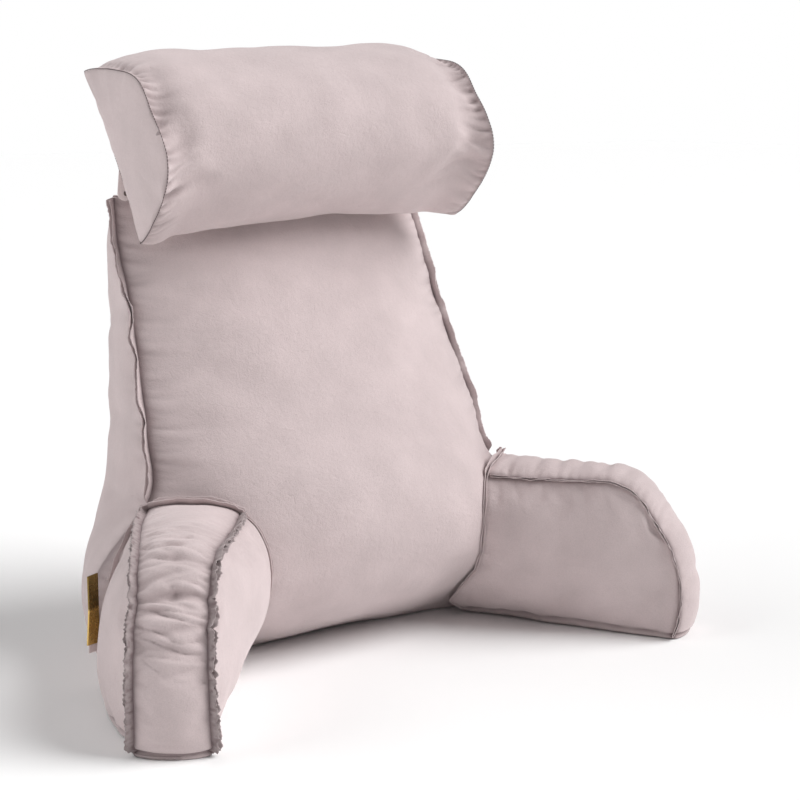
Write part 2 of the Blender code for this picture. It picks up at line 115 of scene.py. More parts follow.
ROOT_EDGE_AHEAD = 0.25       # the root flange leans forward by this share of its width
ROOT_EDGE_FROM = 0.050       # it narrows below this height

# Neck roll
ROLL_HALF = 0.212            # middle to an end seam
ROLL_CENTRE = np.array((0.0, 0.015, 0.551))
ROLL_LEAN = math.radians(31.0)       # its flat side leans back with the cushion
ROLL_TILT = math.radians(2.2)        # its right end lies a little higher
ROLL_END_CROWN = 0.006
ROLL_END_HOLLOW = 0.006      # its flat side bows in this far at the ends
ROLL_TOP_SLACK = 0.10        # its front leans in by this share towards its top
ROLL_END_FADE = 10           # how soon the roll leaves the outline of its ends
EndRow = namedtuple("EndRow", "degrees reach")
ROLL_END_ROWS = (
    EndRow(-90.0, 0.1016),
    EndRow(-65.0, 0.1072),
    EndRow(-48.0, 0.1178),
    EndRow(-36.0, 0.1252),
    EndRow(-28.0, 0.1246),
    EndRow(-19.0, 0.1192),
    EndRow(-1.0, 0.1090),
    EndRow(14.0, 0.1092),
    EndRow(24.0, 0.1074),
    EndRow(42.0, 0.0987),
    EndRow(56.0, 0.0963),
    EndRow(70.0, 0.0987),
    EndRow(90.0, 0.1100),
)
RollRow = namedtuple("RollRow", "share front back top low corner")
ROLL_ROWS = (
    RollRow(0.00, 0.096, 0.000, 0.103, 0.108, 0.80),
    RollRow(0.03, 0.100, 0.004, 0.105, 0.105, 0.82),
    RollRow(0.10, 0.107, 0.012, 0.108, 0.100, 0.86),
    RollRow(0.25, 0.115, 0.022, 0.111, 0.096, 0.92),
    RollRow(1.00, 0.120, 0.028, 0.113, 0.093, 0.96),
)

# Tabs and label
TAB_X = 0.190                # middle of the pillow to the middle of a tab
TAB_END = Vector((0.0335, 0.497))    # (y, z) of a tab's round end
TAB_LENGTH = 0.062
TAB_WIDTH = 0.020
TAB_THICKNESS = 0.0018
TAB_ROUND_SHARE = 0.16       # share of a tab's length that its round end takes
TAB_BLUNT = 0.05             # share of its width at the very end
TAB_EDGE_THIN = 0.6          # share of its thickness lost at its edges
TAB_LEAN = math.radians(12.0)
PLATE = Vector((0.017, 0.0020, 0.074))       # the label plate: outward, through, up
RIBBON = Vector((0.012, 0.0012, 0.082))
RIBBON_SHOWS = 0.010
LABEL_FOOT = Vector((-0.3058, -0.1124, 0.0))
LABEL_TURN = math.radians(29.0)
LABEL_LOW = 0.053
LABEL_BEND = 0.003           # the plate's lower half turns this far at its free edge
BEND_SHARE = 0.5             # share of its height below the bend
DARK_REFLECTION_FROM = 0.52             # its upper half, above this share of its height, is painted darker as a dark reflection
DARK_REFLECTION = 0.95                  # and painted dark by this much
TAG_ROUNDING = 0.35          # a tag's edges are rounded by this share of its thickness
TAG_ROUNDING_MOST = 0.0014
GAP = 0.0006                 # pieces that touch keep this far apart

# Cloth simulation
SIM_FRAMES = 20
SIM_PRESSURE = 4.0
SIM_SLACK = 0.03             # the cloth is cut this share larger than the cushion
SIM_QUALITY = 5
SIM_BENDING = 0.12
SIM_MOST = 0.0045            # no point moves further than this
SIM_EVEN_SHARE = 0.8         # share of the even swelling taken off, as the sizes hold it already
SIM_EVEN_ROUNDS = 24
SIM_SMOOTH_ROUNDS = 5

TOP_CALM, TOP_CALM_LEAST = 0.4, 0.3      # the back wrinkles less near its top

# Cuts of the cushions' cubes: count and ease of each axis, fine and then for the simulation
BACK_CUTS = ((60, 1.0), (26, 1.0), (190, 0.25))
BACK_COARSE = ((30, 1.0), (8, 1.0), (34, 0.3))
ARM_CUTS = ((28, 1.0), (110, 0.15), (96, 0.15))
ARM_COARSE = ((10, 1.0), (34, 0.15), (24, 0.15))
TAB_CUTS = ((12, 1.0), (2, 0.0), (34, 0.3))
TAG_CUTS = ((6, 0.0), (1, 0.0), (24, 0.0))

# Camera and floor
CAMERA_AT = Vector((-1.0398, -1.6818, 0.6129))
CAMERA_LOOKS_AT = Vector((-0.001, -0.2222, 0.2922))
CAMERA_LENS = 76.98
CAMERA_SENSOR = 36
CAMERA_NEAR, CAMERA_FAR = 0.05, 60
FLOOR_SIZE = 30
KEY_FROM, KEY_SPREAD = (0.60, -0.42, 0.68), 42       # direction, degrees
FILL_FROM, FILL_SPREAD = (-0.72, 0.50, 0.50), 60

DARK_REFLECTION_TONE = 0.28             # tone of the painted dark reflection on the plate's upper half
EDGE_TONE = 0.62             # a raw edge is this much darker than the cover

# Unevenness of the filling
Lumps = namedtuple("Lumps", "size height seed")
BACK_LUMPS = Lumps(0.11, 0.0035, 3.0)
BACK_SMALL_LUMPS = Lumps(0.045, 0.0012, 9.0)
ARM_LUMP_SIZE, ARM_LUMP_HEIGHT = 0.07, 0.0022
STRIP_LUMP_SHARE = 0.5       # the strips keep this share of it
ROLL_LUMPS = Lumps(0.09, 0.0035, 1.0)
ROLL_SMALL_LUMPS = Lumps(0.035, 0.0012, 7.0)

# Small creases that leave a seam; the left side of the pillow has key -1, the right side 1
Gathers = namedtuple("Gathers", "spacing depth reach")
BACK_GATHERS = Gathers(0.0095, 0.0022, 0.020)
PANEL_GATHERS = Gathers(0.014, 0.0016, 0.024)
STRIP_GATHERS = {-1: Gathers(0.0085, 0.0040, 0.017), 1: Gathers(0.012, 0.0024, 0.030)}
ROLL_GATHERS = {-1: Gathers(0.0098, 0.0062, 0.020), 1: Gathers(0.0098, 0.0034, 0.024)}
ROLL_GATHER_RISE = 0.0012    # the roll's gathers start this close to its end seams
DRAWN_WAVES = 62.0           # folds drawn up across the left strip, per metre
DRAWN_SHARP = 7.0
DRAWN_DEPTH = 0.0034

# Painted shade of a seam: width and strength of its dark line, then where folds are painted dark
# and how much
Shade = namedtuple("Shade", "line dark start fold most")
BACK_SHADE = Shade(0.0022, 0.75, 0.0, 0.006, 0.3)
ARM_SHADE = Shade(0.0024, 0.9, 0.002, 0.014, 0.45)
ROLL_SHADE = Shade(0.0011, 0.55, 0.0, 0.008, 0.5)
# Painted shade in the hem's groove, then width and strength of a painted contact shadow where the
# arms meet the floor
HEM_DARK = 0.62
FOOT_LINE, FOOT_DARK = 0.0022, 0.5
GUSSET_DEPTH, FRONT_HALF = 0.16, 0.2     # the back's gusset and half its front, in the cloth

# Raw seam edges: shares of the seam's width and ruffle, spread of the plies, fray, wave, and
# strength of painted shade in dark pits
Edge = namedtuple("Edge", "width wave spread fray wave_length pits")
SIDE_WELT = Edge(1.0, 0.35, 0.45, 0.10, 0.009, 0.0)
TOP_WELT = Edge(0.8, 0.30, 0.30, 0.10, 0.009, 0.0)
ROOT_EDGE = Edge(1.0, 0.30, 0.70, 0.10, 0.020, 0.0)
FRAYED_EDGE = Edge(1.0, 1.1, 0.45, 0.32, 0.007, 0.8)
INNER_EDGE = Edge(0.75, 0.45, 0.30, 0.08, 0.014, 0.2)
OUTER_EDGE = Edge(0.55, 0.45, 0.30, 0.08, 0.014, 0.2)
PLIES = 2
EDGE_STEP = 0.0014           # a raw edge has a cut this often
EDGE_TAPER = 0.004           # and narrows this far from its ends
EDGE_ROWS = (-0.15, 0.0, 0.22, 0.46, 0.70, 0.88, 1.0)    # shares of its width, from the seam out
WELT_FROM = 0.365            # the back's side welts start at this share of its height
FRAYED_OUT, FRAYED_SIDEWAYS = 0.62, 0.75     # lean of a frayed strip edge
SMOOTH_OUT, SMOOTH_SIDEWAYS = 0.30, 0.90     # lean of a smooth one
ROOT_INNER_OUT = 0.55        # the root flange's inner side stands out by this share

# Stitches in the roll's end seams
STITCH_SIDES = 6
STITCH_RADIUS = 0.00045
STITCH_PROUD = 0.0003
STITCH_PAST = 0.0002         # each stitch runs this far past its holes

Crease = namedtuple("Crease", "along off turn length width depth")


def colour(name, about, default):
    return bpy.props.FloatVectorProperty(name=name, description=about, subtype="COLOR", size=3,
                                         default=default, min=0, max=1)


def length(name, about, default, least, most):
    return bpy.props.FloatProperty(name=name, description=about, unit="LENGTH",
                                   default=default, min=least, max=most)


def strength(name, about, default):
    return bpy.props.FloatProperty(name=name, description=about, default=default, min=0)


class PillowCloth(bpy.types.PropertyGroup):
    """Colours and surface of the cloth."""

    cover: colour("Cover", "Colour of the peach-skin cover", (0.635, 0.53, 0.53))
    shade: colour("Crease shade", "Colour deep in the creases and seams", (0.20, 0.145, 0.15))
    tab: colour("Tab", "Colour of the tabs and the label ribbon", (0.86, 0.76, 0.75))
    thread: colour("Thread", "Colour of the stitches", (0.12, 0.09, 0.09))
    grain: length("Grain", "Width of the cloth's finest grain", 0.0011, 0.0002, 0.01)
    fill: bpy.props.FloatProperty(
        name="Fill", description="How tightly the cushions are stuffed", subtype="FACTOR",
        default=0.75, min=0, max=1)


class PillowSeams(bpy.types.PropertyGroup):
    """Sizes of the raised seam edges."""

    strip_width: length("Strip flange", "How far the strip's raw edges stand out",
                        0.0085, 0.002, 0.02)
    root_width: length("Root flange", "How far the flange round an arm's root stands out",
                       0.0075, 0.002, 0.02)
    welt_width: length("Back welt", "How far the back's welt stands out", 0.0085, 0.002, 0.02)
    ply: length("Ply", "Thickness of one ply of cloth", 0.0008, 0.0002, 0.003)
    wave: length("Ruffle", "How far a raw edge waves to each side", 0.0020, 0.0, 0.01)


class PillowStage(bpy.types.PropertyGroup):
    """Floor and light."""

    floor: colour("Floor", "Colour of the floor", (0.99, 0.99, 0.99))
    key: strength("Key light", "Strength of the soft light from the right", 2.85)
    fill: strength("Fill light", "Strength of the light from the rear left", 1.2)
    sky: strength("Room light", "Strength of the light from all round", 0.24)
    backdrop: strength("Backdrop", "Brightness of the room behind the pillow", 1.0)


def mix(a, b, t):
    return a + (b - a) * t


def row_at(rows, place):
    """The row at a place in the first column's range, on smooth curves through the rows."""
    last = len(rows) - 1
    first = max(k for k in range(last) if k == 0 or rows[k][0] <= place)
    start, end = rows[first], rows[first + 1]
    before, after = rows[max(first - 1, 0)], rows[min(first + 2, last)]
    span = end[0] - start[0]
    t = min(max((place - start[0]) / span, 0.0), 1.0)
    values = []
    for column in range(len(start)):
        slope_in = (end[column] - before[column]) / (end[0] - before[0]) * span
        slope_out = (after[column] - start[column]) / (after[0] - start[0]) * span
        values.append(
            start[column] * (2 * t**3 - 3 * t**2 + 1)
            + end[column] * (3 * t**2 - 2 * t**3)
            + slope_in * (t**3 - 2 * t**2 + t)
            + slope_out * (t**3 - t**2)
        )
    return type(start)(*values)


def swell(t, power=PANEL_FALL):
    """1 in the middle of a panel and 0 on its seams, steepest beside them."""
    return (1 - min(abs(t), 1.0) ** 2) ** power


def swell_all(t):
    """The same for an array of places."""
    return (1 - np.minimum(np.abs(t), 1.0) ** 2) ** PANEL_FALL


def places(count, ease):
    """Cuts from -1 to 1; with ease they crowd towards both ends."""
    return [mix(2 * k / count - 1, -math.cos(math.pi * k / count), ease) for k in range(count + 1)]


def cube_cuts(*axes):
    """Cuts along the three axes of a cube, each from its own count and ease."""
    return tuple(places(*axis) for axis in axes)


def sewn_grid(cuts):
    """The skin of a cube cut at the given places: index by key, cube places, and quads."""
    index, coords, quads = {}, [], []

    def corner(axis, end, a, i, b, j):
        key = [0, 0, 0]
        key[axis], key[a], key[b] = end, i, j
        key = tuple(key)
        if key not in index:
            index[key] = len(coords)
            coords.append([cuts[k][key[k]] for k in range(3)])
        return index[key]

    for axis in range(3):
        a, b = (axis + 1) % 3, (axis + 2) % 3
        for end in (0, len(cuts[axis]) - 1):
            for i in range(len(cuts[a]) - 1):
                for j in range(len(cuts[b]) - 1):
                    loop = [corner(axis, end, a, i + di, b, j + dj)
                            for di, dj in ((0, 0), (1, 0), (1, 1), (0, 1))]
                    quads.append(loop if end else loop[::-1])
    return index, np.array(coords), quads


def normals_of(points, quads):
    """Vertex normals of a quad mesh."""
    loops = np.array(quads)
    across = np.cross(points[loops[:, 2]] - points[loops[:, 0]],
                      points[loops[:, 3]] - points[loops[:, 1]])
    normals = np.zeros_like(points)
    for k in range(4):
        np.add.at(normals, loops[:, k], across)
    return normals / np.maximum(np.linalg.norm(normals, axis=1, keepdims=True), 1e-12)


def outward_faces(points, quads):
    """The faces turned so that the closed shape they make has its outside outside."""
    volume = 0.0
    for loop in quads:
        a, b, c = points[loop[0]], points[loop[1]], points[loop[2]]
        volume += np.dot(a, np.cross(b, c))
        if len(loop) == 4:
            volume += np.dot(a, np.cross(c, points[loop[3]]))
    return quads if volume > 0 else [loop[::-1] for loop in quads]


def back_point(u, v, w):
    """Back cushion: u left to right, v front to rear, w base to top, each from -1 to 1."""
    row = row_at(BACK_ROWS, (w + 1) / 2)
    depth = (v + 1) / 2
    height = row.lift * (BACK_HEIGHT - REAR_DROP * depth)
    front = row.seam_y - row.crown * swell(u, row.fall)
    rear = row.rear_y + row.rear_crown * swell(u)
    x = mix(row.half_width, row.rear_half, depth) * u + row.side_bulge * swell(v) * u**5
    if w == 1:
        height += TOP_CROWN * swell(u) * swell(v)
    if w == -1:
        height = BASE_RISE * max(abs(u), abs(v)) ** RIM_POWER
    return (x, mix(front, rear, depth), height)


def nose_arc(angle, height=ARM_HEIGHT):
    """A point of the arm's side outline on its rounded front: (run, height)."""
    rise = height - NOSE_HEIGHT if angle > 0 else NOSE_LOW
    return (ARM_BEND + ARM_NOSE * math.cos(angle), NOSE_HEIGHT + rise * math.sin(angle))


def arm_top(t):
    """Top of the side outline, from the root to the turn of the nose."""
    straight = ARM_BEND - ARM_START
    arc = ARM_NOSE * (math.pi / 2 - NOSE_TOP_ANGLE) * NOSE_TURN
    run = t * (straight + arc)
    if run <= straight:
        return (ARM_START + run, ARM_HEIGHT)
    return nose_arc(mix(math.pi / 2, NOSE_TOP_ANGLE, (run - straight) / arc))


def arm_outline(s, t):
    """A point inside the side outline: s from root to front, t from base to top."""
    base_run = nose_arc(NOSE_BASE_ANGLE)[0]
    base = (mix(ARM_START, base_run, s), 0.0)
    root = (ARM_START, ARM_HEIGHT * t)
    top, front = arm_top(s), nose_arc(mix(NOSE_BASE_ANGLE, NOSE_TOP_ANGLE, t))
    shares = ((1 - s) * (1 - t), s * (1 - t), (1 - s) * t, s * t)
    corners = ((ARM_START, 0.0), (base_run, 0.0), (ARM_START, ARM_HEIGHT), arm_top(1.0))
    return [
        mix(base[k], top[k], t) + mix(root[k], front[k], s)
        - sum(share * corner[k] for share, corner in zip(shares, corners))
        for k in range(2)
    ]


def arm_place(side, run, lateral, height):
    """Turns a place along, across and up an arm into the pillow's own axes."""
    x = run * math.sin(ARM_TURN) + lateral * math.cos(ARM_TURN)
    y = -run * math.cos(ARM_TURN) + lateral * math.sin(ARM_TURN) + ARM_SHIFT
    return Vector((side * x, y, height))


def root_run(back, side, lateral, height):
    """How far along its run an arm meets the back, looking from the nose to the back."""
    start = arm_place(side, ARM_BEND, lateral, max(height, ROOT_LOW))
    heading = arm_place(side, 0.0, lateral, 0.0) - arm_place(side, 1.0, lateral, 0.0)
    hit = back.ray_cast(start, heading)[0]
    if hit is None:
        return ARM_ROOT_MOST
    met = ARM_BEND - (hit - start).length + ROOT_GAP
    return min(max(met, ARM_START), ARM_ROOT_MOST)


def arm_shape(side, back):
    """The shape function of one arm: u inner to outer, v root to front, w base to top."""
    def shape(u, v, w):
        s, t = (v + 1) / 2, (w + 1) / 2
        run, height = arm_outline(s, t)
        row = row_at(ARM_ROWS, run)
        fade = 1.0 if s < 0.5 else swell(2 * s - 1, NOSE_FALL)
        full = swell(w, ARM_PANEL_FALL)
        inner = mix(row.base_inner, row.inner, t) - row.inner_bulge * full * fade
        outer = mix(row.base_outer, row.outer, t) + row.outer_bulge * full * fade
        lateral = mix(inner, outer, (u + 1) / 2)
        if s < 1:
            run += (root_run(back, side, lateral, height) - ARM_START) * (1 - s)
        slope = (0.0, 1.0)
        if run > ARM_BEND:
            drop = max(height - NOSE_HEIGHT, NOSE_DROP_LEAST)
            slope = Vector((run - ARM_BEND, drop)).normalized()
        if w == 1 or v == 1:
            run += slope[0] * STRIP_CROWN * swell(u)
            height += slope[1] * STRIP_CROWN * swell(u)
        place = arm_place(side, run, lateral, height)
        if w == -1:
            place.z = BASE_RISE * max(abs(u), v) ** RIM_POWER if max(abs(u), v) > 0 else 0.0
        return place
    return shape


def gather_rows(seed, length, gathers):
    """Small creases that leave a seam: place along it, depth, reach, width and slant of each."""
    draw = random.Random(seed)
    rows, place = [], 0.0
    while place < length:
        place += gathers.spacing * draw.uniform(0.6, 1.4)
        rows.append((place, gathers.depth * draw.uniform(0.35, 1.0),
                     gathers.reach * draw.uniform(0.4, 1.3),
                     gathers.spacing * draw.uniform(0.20, 0.34), draw.uniform(-0.25, 0.25)))
    return rows


def drawn_folds(along, across):
    """Folds drawn up across a strip: narrow valleys between round ridges, 0 to -1."""
    values = np.empty_like(along)
    for k, (a, c) in enumerate(zip(along, across)):
        sway = noise.noise(Vector((a * 9.0, c * 11.0, 2.0))) * 0.012
        place = (a + sway) * DRAWN_WAVES
        wave = noise.noise(Vector((place, c * 13.0 + 2.0, 2.0)))
        wave += 0.45 * noise.noise(Vector((place * 2.3, c * 22.0, 7.0)))
        values[k] = -np.exp(-abs(wave) * DRAWN_SHARP)
    return values


def gather_relief(rows, along, off, rise=0.0025):
    """How far the creases sink the cloth, by distance along the seam and away from it."""
    relief = np.zeros_like(along)
    for place, depth, reach, width, slant in rows:
        across = (along - place - slant * off) / (width * (1 + off / reach * 0.6))
        fade = (1 - np.exp(-off / rise)) * np.exp(-np.abs(off / reach) ** 1.6)
        relief -= depth * np.exp(-across * across) * fade
    return relief


def crease_relief(creases, along, off):
    """How far single long folds sink or raise the cloth."""
    relief = np.zeros_like(along)
    for c in creases:
        run, side = along - c.along, off - c.off
        lengthwise = run * math.cos(c.turn) + side * math.sin(c.turn)
        across = side * math.cos(c.turn) - run * math.sin(c.turn)
        relief -= c.depth * np.exp(-(lengthwise / c.length) ** 2 - (across / c.width) ** 2)
    return relief


def seam_shade(off, shade):
    """Painted shade along a seam's line, by distance from it."""
    return np.exp(-off / shade.line) * shade.dark


def fold_shade(sunk, shade):
    """Painted shade in the folds, by how far they sink the cloth."""
    return np.clip((-sunk - shade.start) / shade.fold, 0, shade.most)


def lumps(points, size, height, seed):
    """Soft unevenness of the filling."""
    shift = Vector((seed, 0, 0))
    return np.array([noise.noise(Vector(p) / size + shift) * height for p in points])


def evened(values, quads, rounds):
    """Values at the points of a skin, averaged with their neighbours a number of times."""
    loops = np.array(quads)
    for _ in range(rounds):
        total, count = np.zeros_like(values), np.zeros((len(values), 1))
        middle = values[loops].mean(axis=1)
        for k in range(loops.shape[1]):
            np.add.at(total, loops[:, k], middle)
            np.add.at(count, loops[:, k], 1.0)
        values = total / np.maximum(count, 1.0)
    return values


def settle(name, points, quads, held):
    """Lets a coarse skin of cloth fill out and wrinkle; returns how far each point moves."""
    scene = bpy.context.scene
    mesh = bpy.data.meshes.new(name)
    mesh.from_pydata([tuple(p) for p in points], [], quads)
    piece = bpy.data.objects.new(name, mesh)
    scene.collection.objects.link(piece)
    group = piece.vertex_groups.new(name="held")
    group.add([int(k) for k in np.flatnonzero(held)], 1.0, "REPLACE")
    modifier = piece.modifiers.new("Cloth", "CLOTH")
    settings = modifier.settings
    settings.vertex_group_mass = "held"
    settings.use_pressure = True
    settings.uniform_pressure_force = SIM_PRESSURE
    settings.shrink_min = -SIM_SLACK
    settings.effector_weights.gravity = 0.0
    settings.quality = SIM_QUALITY
    settings.bending_stiffness = SIM_BENDING
    modifier.point_cache.frame_start, modifier.point_cache.frame_end = 1, SIM_FRAMES
    for step in range(1, SIM_FRAMES + 1):
        scene.frame_set(step)
    found = piece.evaluated_get(bpy.context.evaluated_depsgraph_get())
    flat = np.empty(len(points) * 3)
    found.data.vertices.foreach_get("co", flat)
    moved = flat.reshape(-1, 3) - points
    bpy.data.objects.remove(piece)
    scene.frame_set(1)
    moved -= SIM_EVEN_SHARE * evened(moved, quads, SIM_EVEN_ROUNDS)
    moved[held] = 0.0
    length = np.linalg.norm(moved, axis=1, keepdims=True)
    return moved / np.maximum(length, 1e-9) * np.tanh(length / SIM_MOST) * SIM_MOST


def carried(coords, cuts, index, moved):
    """The movement of a coarse skin, spread over a finer skin of the same cube."""
    spread = np.zeros_like(coords)
    for axis in range(3):
        a, b = (axis + 1) % 3, (axis + 2) % 3
        for end in (0, len(cuts[axis]) - 1):
            key = [0, 0, 0]
            key[axis] = end
            table = np.zeros((len(cuts[a]), len(cuts[b]), 3))
            for key[a] in range(len(cuts[a])):
                for key[b] in range(len(cuts[b])):
                    table[key[a], key[b]] = moved[index[tuple(key)]]
            on = coords[:, axis] == cuts[axis][end]
            spread[on] = between(table, cuts[a], cuts[b], coords[on, a], coords[on, b])
    return spread


def between(table, first, second, a, b):
    """Values of a table at places between its rows and columns."""
    first, second = np.array(first), np.array(second)
    i = np.clip(np.searchsorted(first, a, "right") - 1, 0, len(first) - 2)
    j = np.clip(np.searchsorted(second, b, "right") - 1, 0, len(second) - 2)
    s = ((a - first[i]) / (first[i + 1] - first[i]))[:, None]
    t = ((b - second[j]) / (second[j + 1] - second[j]))[:, None]
    lower = mix(table[i, j], table[i + 1, j], s)
    upper = mix(table[i, j + 1], table[i + 1, j + 1], s)
    return mix(lower, upper, t)


def settled(name, shape, cuts, coords, quads, held_faces):
    """Movement of a cushion's fine skin, found on a coarse one held at its seams."""
    index, coarse, loops = sewn_grid(cuts)
    points = np.array([shape(*place) for place in coarse])
    loops = outward_faces(points, loops)
    held = (np.abs(coarse) == 1).sum(axis=1) > 1
    for axis, end in held_faces:
        held |= coarse[:, axis] == end
    moved = settle(name, points, loops, held)
    return evened(carried(coords, cuts, index, moved), quads, SIM_SMOOTH_ROUNDS)


def keep_clear(points, neighbours, gap, reach=0.06):
    """Points inside a neighbour, and no deeper than the reach, are moved out to its surface."""
    for k, point in enumerate(points):
        for surface in neighbours:
            near, normal, _, _ = surface.find_nearest(Vector(points[k]), reach)
            if near is not None and (Vector(points[k]) - near).dot(normal) < gap:
                points[k] = near + normal * gap
    return points


def surface_of(piece):
    return BVHTree.FromPolygons([v.co for v in piece.data.vertices],
                                [p.vertices for p in piece.data.polygons])


def new_piece(name, points, faces, material, painted_shade=None):
    """A smooth mesh object that rides on the pillow."""
    mesh = bpy.data.meshes.new(name)
    mesh.from_pydata([tuple(p) for p in points], [], faces)
    mesh.shade_smooth()
    # the mask of painted shade is stored as a point attribute that the materials darken by
    if painted_shade is not None:
        layer = mesh.attributes.new("painted_shade", "FLOAT", "POINT")
        layer.data.foreach_set("value", np.clip(painted_shade, 0, 1).astype(np.float32))
    mesh.materials.append(material)
    piece = bpy.data.objects.new(name, mesh)
    bpy.context.scene.collection.objects.link(piece)
    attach(piece, BODY)
    return piece


def apply_modifier(piece, kind, **values):
    """Adds one modifier to a piece and applies it."""
    bpy.ops.object.select_all(action="DESELECT")
    piece.select_set(True)
    bpy.context.view_layer.objects.active = piece
    modifier = piece.modifiers.new(kind.title(), kind)
    for name, value in values.items():
        setattr(modifier, name, value)
    bpy.ops.object.modifier_apply(modifier=modifier.name)


def along_path(path):
    """Distance from the start of a path to each of its points."""
    steps = np.linalg.norm(np.diff(path, axis=0), axis=1)
    return np.concatenate(([0.0], np.cumsum(steps)))


def ruffle(name, path, out, width, edge, material, seed):
    """A seam's raw edges: thin plies of cloth that stand out of the seam and wave."""
    seams = bpy.context.scene.pillow_seams
    width, wave = width * edge.width, seams.wave * edge.wave
    lengths = along_path(path)
    count = max(int(lengths[-1] / EDGE_STEP), 8)
    stations = np.linspace(0, lengths[-1], count)
    line = np.stack([np.interp(stations, lengths, path[:, k]) for k in range(3)], axis=1)
    away = np.stack([np.interp(stations, lengths, out[:, k]) for k in range(3)], axis=1)
    reach = np.linalg.norm(away, axis=1)
    away /= reach[:, None]
    ahead = np.gradient(line, axis=0)
    side = np.cross(ahead, away)
    side /= np.linalg.norm(side, axis=1, keepdims=True)
    points, faces, painted_shade = [], [], []
    for ply in range(PLIES):
        lean = edge.spread * (ply - (PLIES - 1) / 2)
        base = len(points)
        for k, s in enumerate(stations):
            shift = seed * 3.7 + ply * 11.3
            sway = (noise.noise(Vector((s / edge.wave_length, shift, 0)))
                    + 0.5 * noise.noise(Vector((s / (edge.wave_length * 0.42), shift, 4))))
            tall = width * (1 + 0.22 * noise.noise(Vector((s / 0.016, shift, 8)))
                            + edge.fray * noise.noise(Vector((s / 0.0022, shift, 12))))
            nearest_end = min(s, lengths[-1] - s)
            tall *= reach[k] * min(1.0, nearest_end / EDGE_TAPER + 0.15)
            for row in EDGE_ROWS:
                bend = max(row, 0.0) ** 1.4
                aside = sway * wave * 1.8 * bend + lean * tall * max(row, 0.0)
                points.append(line[k] + away[k] * tall * row + side[k] * aside)
                # Painted shade: each edge is painted dark at its root in the seam and in dark pits
                # along it
                pit = noise.noise(Vector((s / 0.0035, row * 2.0, shift)))
                dark = max(0.0, 0.9 - max(row, 0.0) * 1.6)
                painted_shade.append(min(1.0, dark + edge.pits * max(0.0, pit) * 1.6))
        across = len(EDGE_ROWS)
        for k in range(count - 1):
            for r in range(across - 1):
                a = base + k * across + r
                faces.append((a, a + 1, a + 1 + across, a + across))
    points = np.array(points)
    points[:, 2] = np.maximum(points[:, 2], seams.ply / 2)
    piece = new_piece(name, points, faces, material, np.array(painted_shade))
    apply_modifier(piece, "SOLIDIFY", thickness=seams.ply, offset=0.0)
    return piece


def edge_path(index, points, normals, keys):
    """Places and outward directions of the sewn edge that runs through the given keys."""
    found = [index[key] for key in keys]
    return points[found], normals[found]


def group_nodes(name, inputs, outputs):
    """A new node group with named sockets, or None for its nodes if it is already there."""
    found = bpy.data.node_groups.get(name)
    if found:
        return found, None, None
    group = bpy.data.node_groups.new(name, "ShaderNodeTree")
    for label, kind, default in inputs:
        socket = group.interface.new_socket(label, in_out="INPUT", socket_type=kind)
        if default is not None:
            socket.default_value = default
    for label, kind in outputs:
        group.interface.new_socket(label, in_out="OUTPUT", socket_type=kind)
    return group, group.nodes.new("NodeGroupInput"), group.nodes.new("NodeGroupOutput")


def add_node(tree, kind, inputs=(), **values):
    node = tree.nodes.new(kind)
    for name, value in values.items():
        setattr(node, name, value)
    for socket, value in dict(inputs).items():
        if isinstance(value, bpy.types.NodeSocket):
            tree.links.new(value, node.inputs[socket])
        else:
            node.inputs[socket].default_value = value
    return node


def cloth_grain():
    """Fine nap and soft crinkles of the peach-skin cloth, as a height and a light-dark mask."""
    group, given, out = group_nodes(
        "Cloth grain",
        [("Place", "NodeSocketVector", None), ("Grain", "NodeSocketFloat", 0.0011)],
        [("Height", "NodeSocketFloat"), ("Mottle", "NodeSocketFloat")])
    if given is None:
        return group
    fine_scale = add_node(group, "ShaderNodeMath", {0: 1.0, 1: given.outputs["Grain"]},
                          operation="DIVIDE")
    nap = add_node(group, "ShaderNodeTexNoise",
                   {"Vector": given.outputs["Place"], "Scale": fine_scale.outputs[0],
                    "Detail": 3.0, "Roughness": 0.6})
    crinkle = add_node(group, "ShaderNodeTexNoise",
                       {"Vector": given.outputs["Place"], "Scale": 150.0, "Detail": 4.0,
                        "Roughness": 0.62, "Distortion": 0.6})
    soft = add_node(group, "ShaderNodeTexNoise",
                    {"Vector": given.outputs["Place"], "Scale": 22.0, "Detail": 2.0,
                     "Roughness": 0.5})
    low = add_node(group, "ShaderNodeMath",
                   {0: crinkle.outputs["Fac"], 1: 0.75}, operation="MULTIPLY")
    both = add_node(group, "ShaderNodeMath",
                    {0: nap.outputs["Fac"], 1: 0.35, 2: low.outputs[0]}, operation="MULTIPLY_ADD")
    group.links.new(both.outputs[0], out.inputs["Height"])
    mottle = add_node(group, "ShaderNodeMath",
                      {0: nap.outputs["Fac"], 1: 0.55, 2: 0.0}, operation="MULTIPLY_ADD")
    mottle_more = add_node(group, "ShaderNodeMath",
                           {0: soft.outputs["Fac"], 1: 0.45, 2: mottle.outputs[0]},
                           operation="MULTIPLY_ADD")
    group.links.new(mottle_more.outputs[0], out.inputs["Mottle"])
    return group


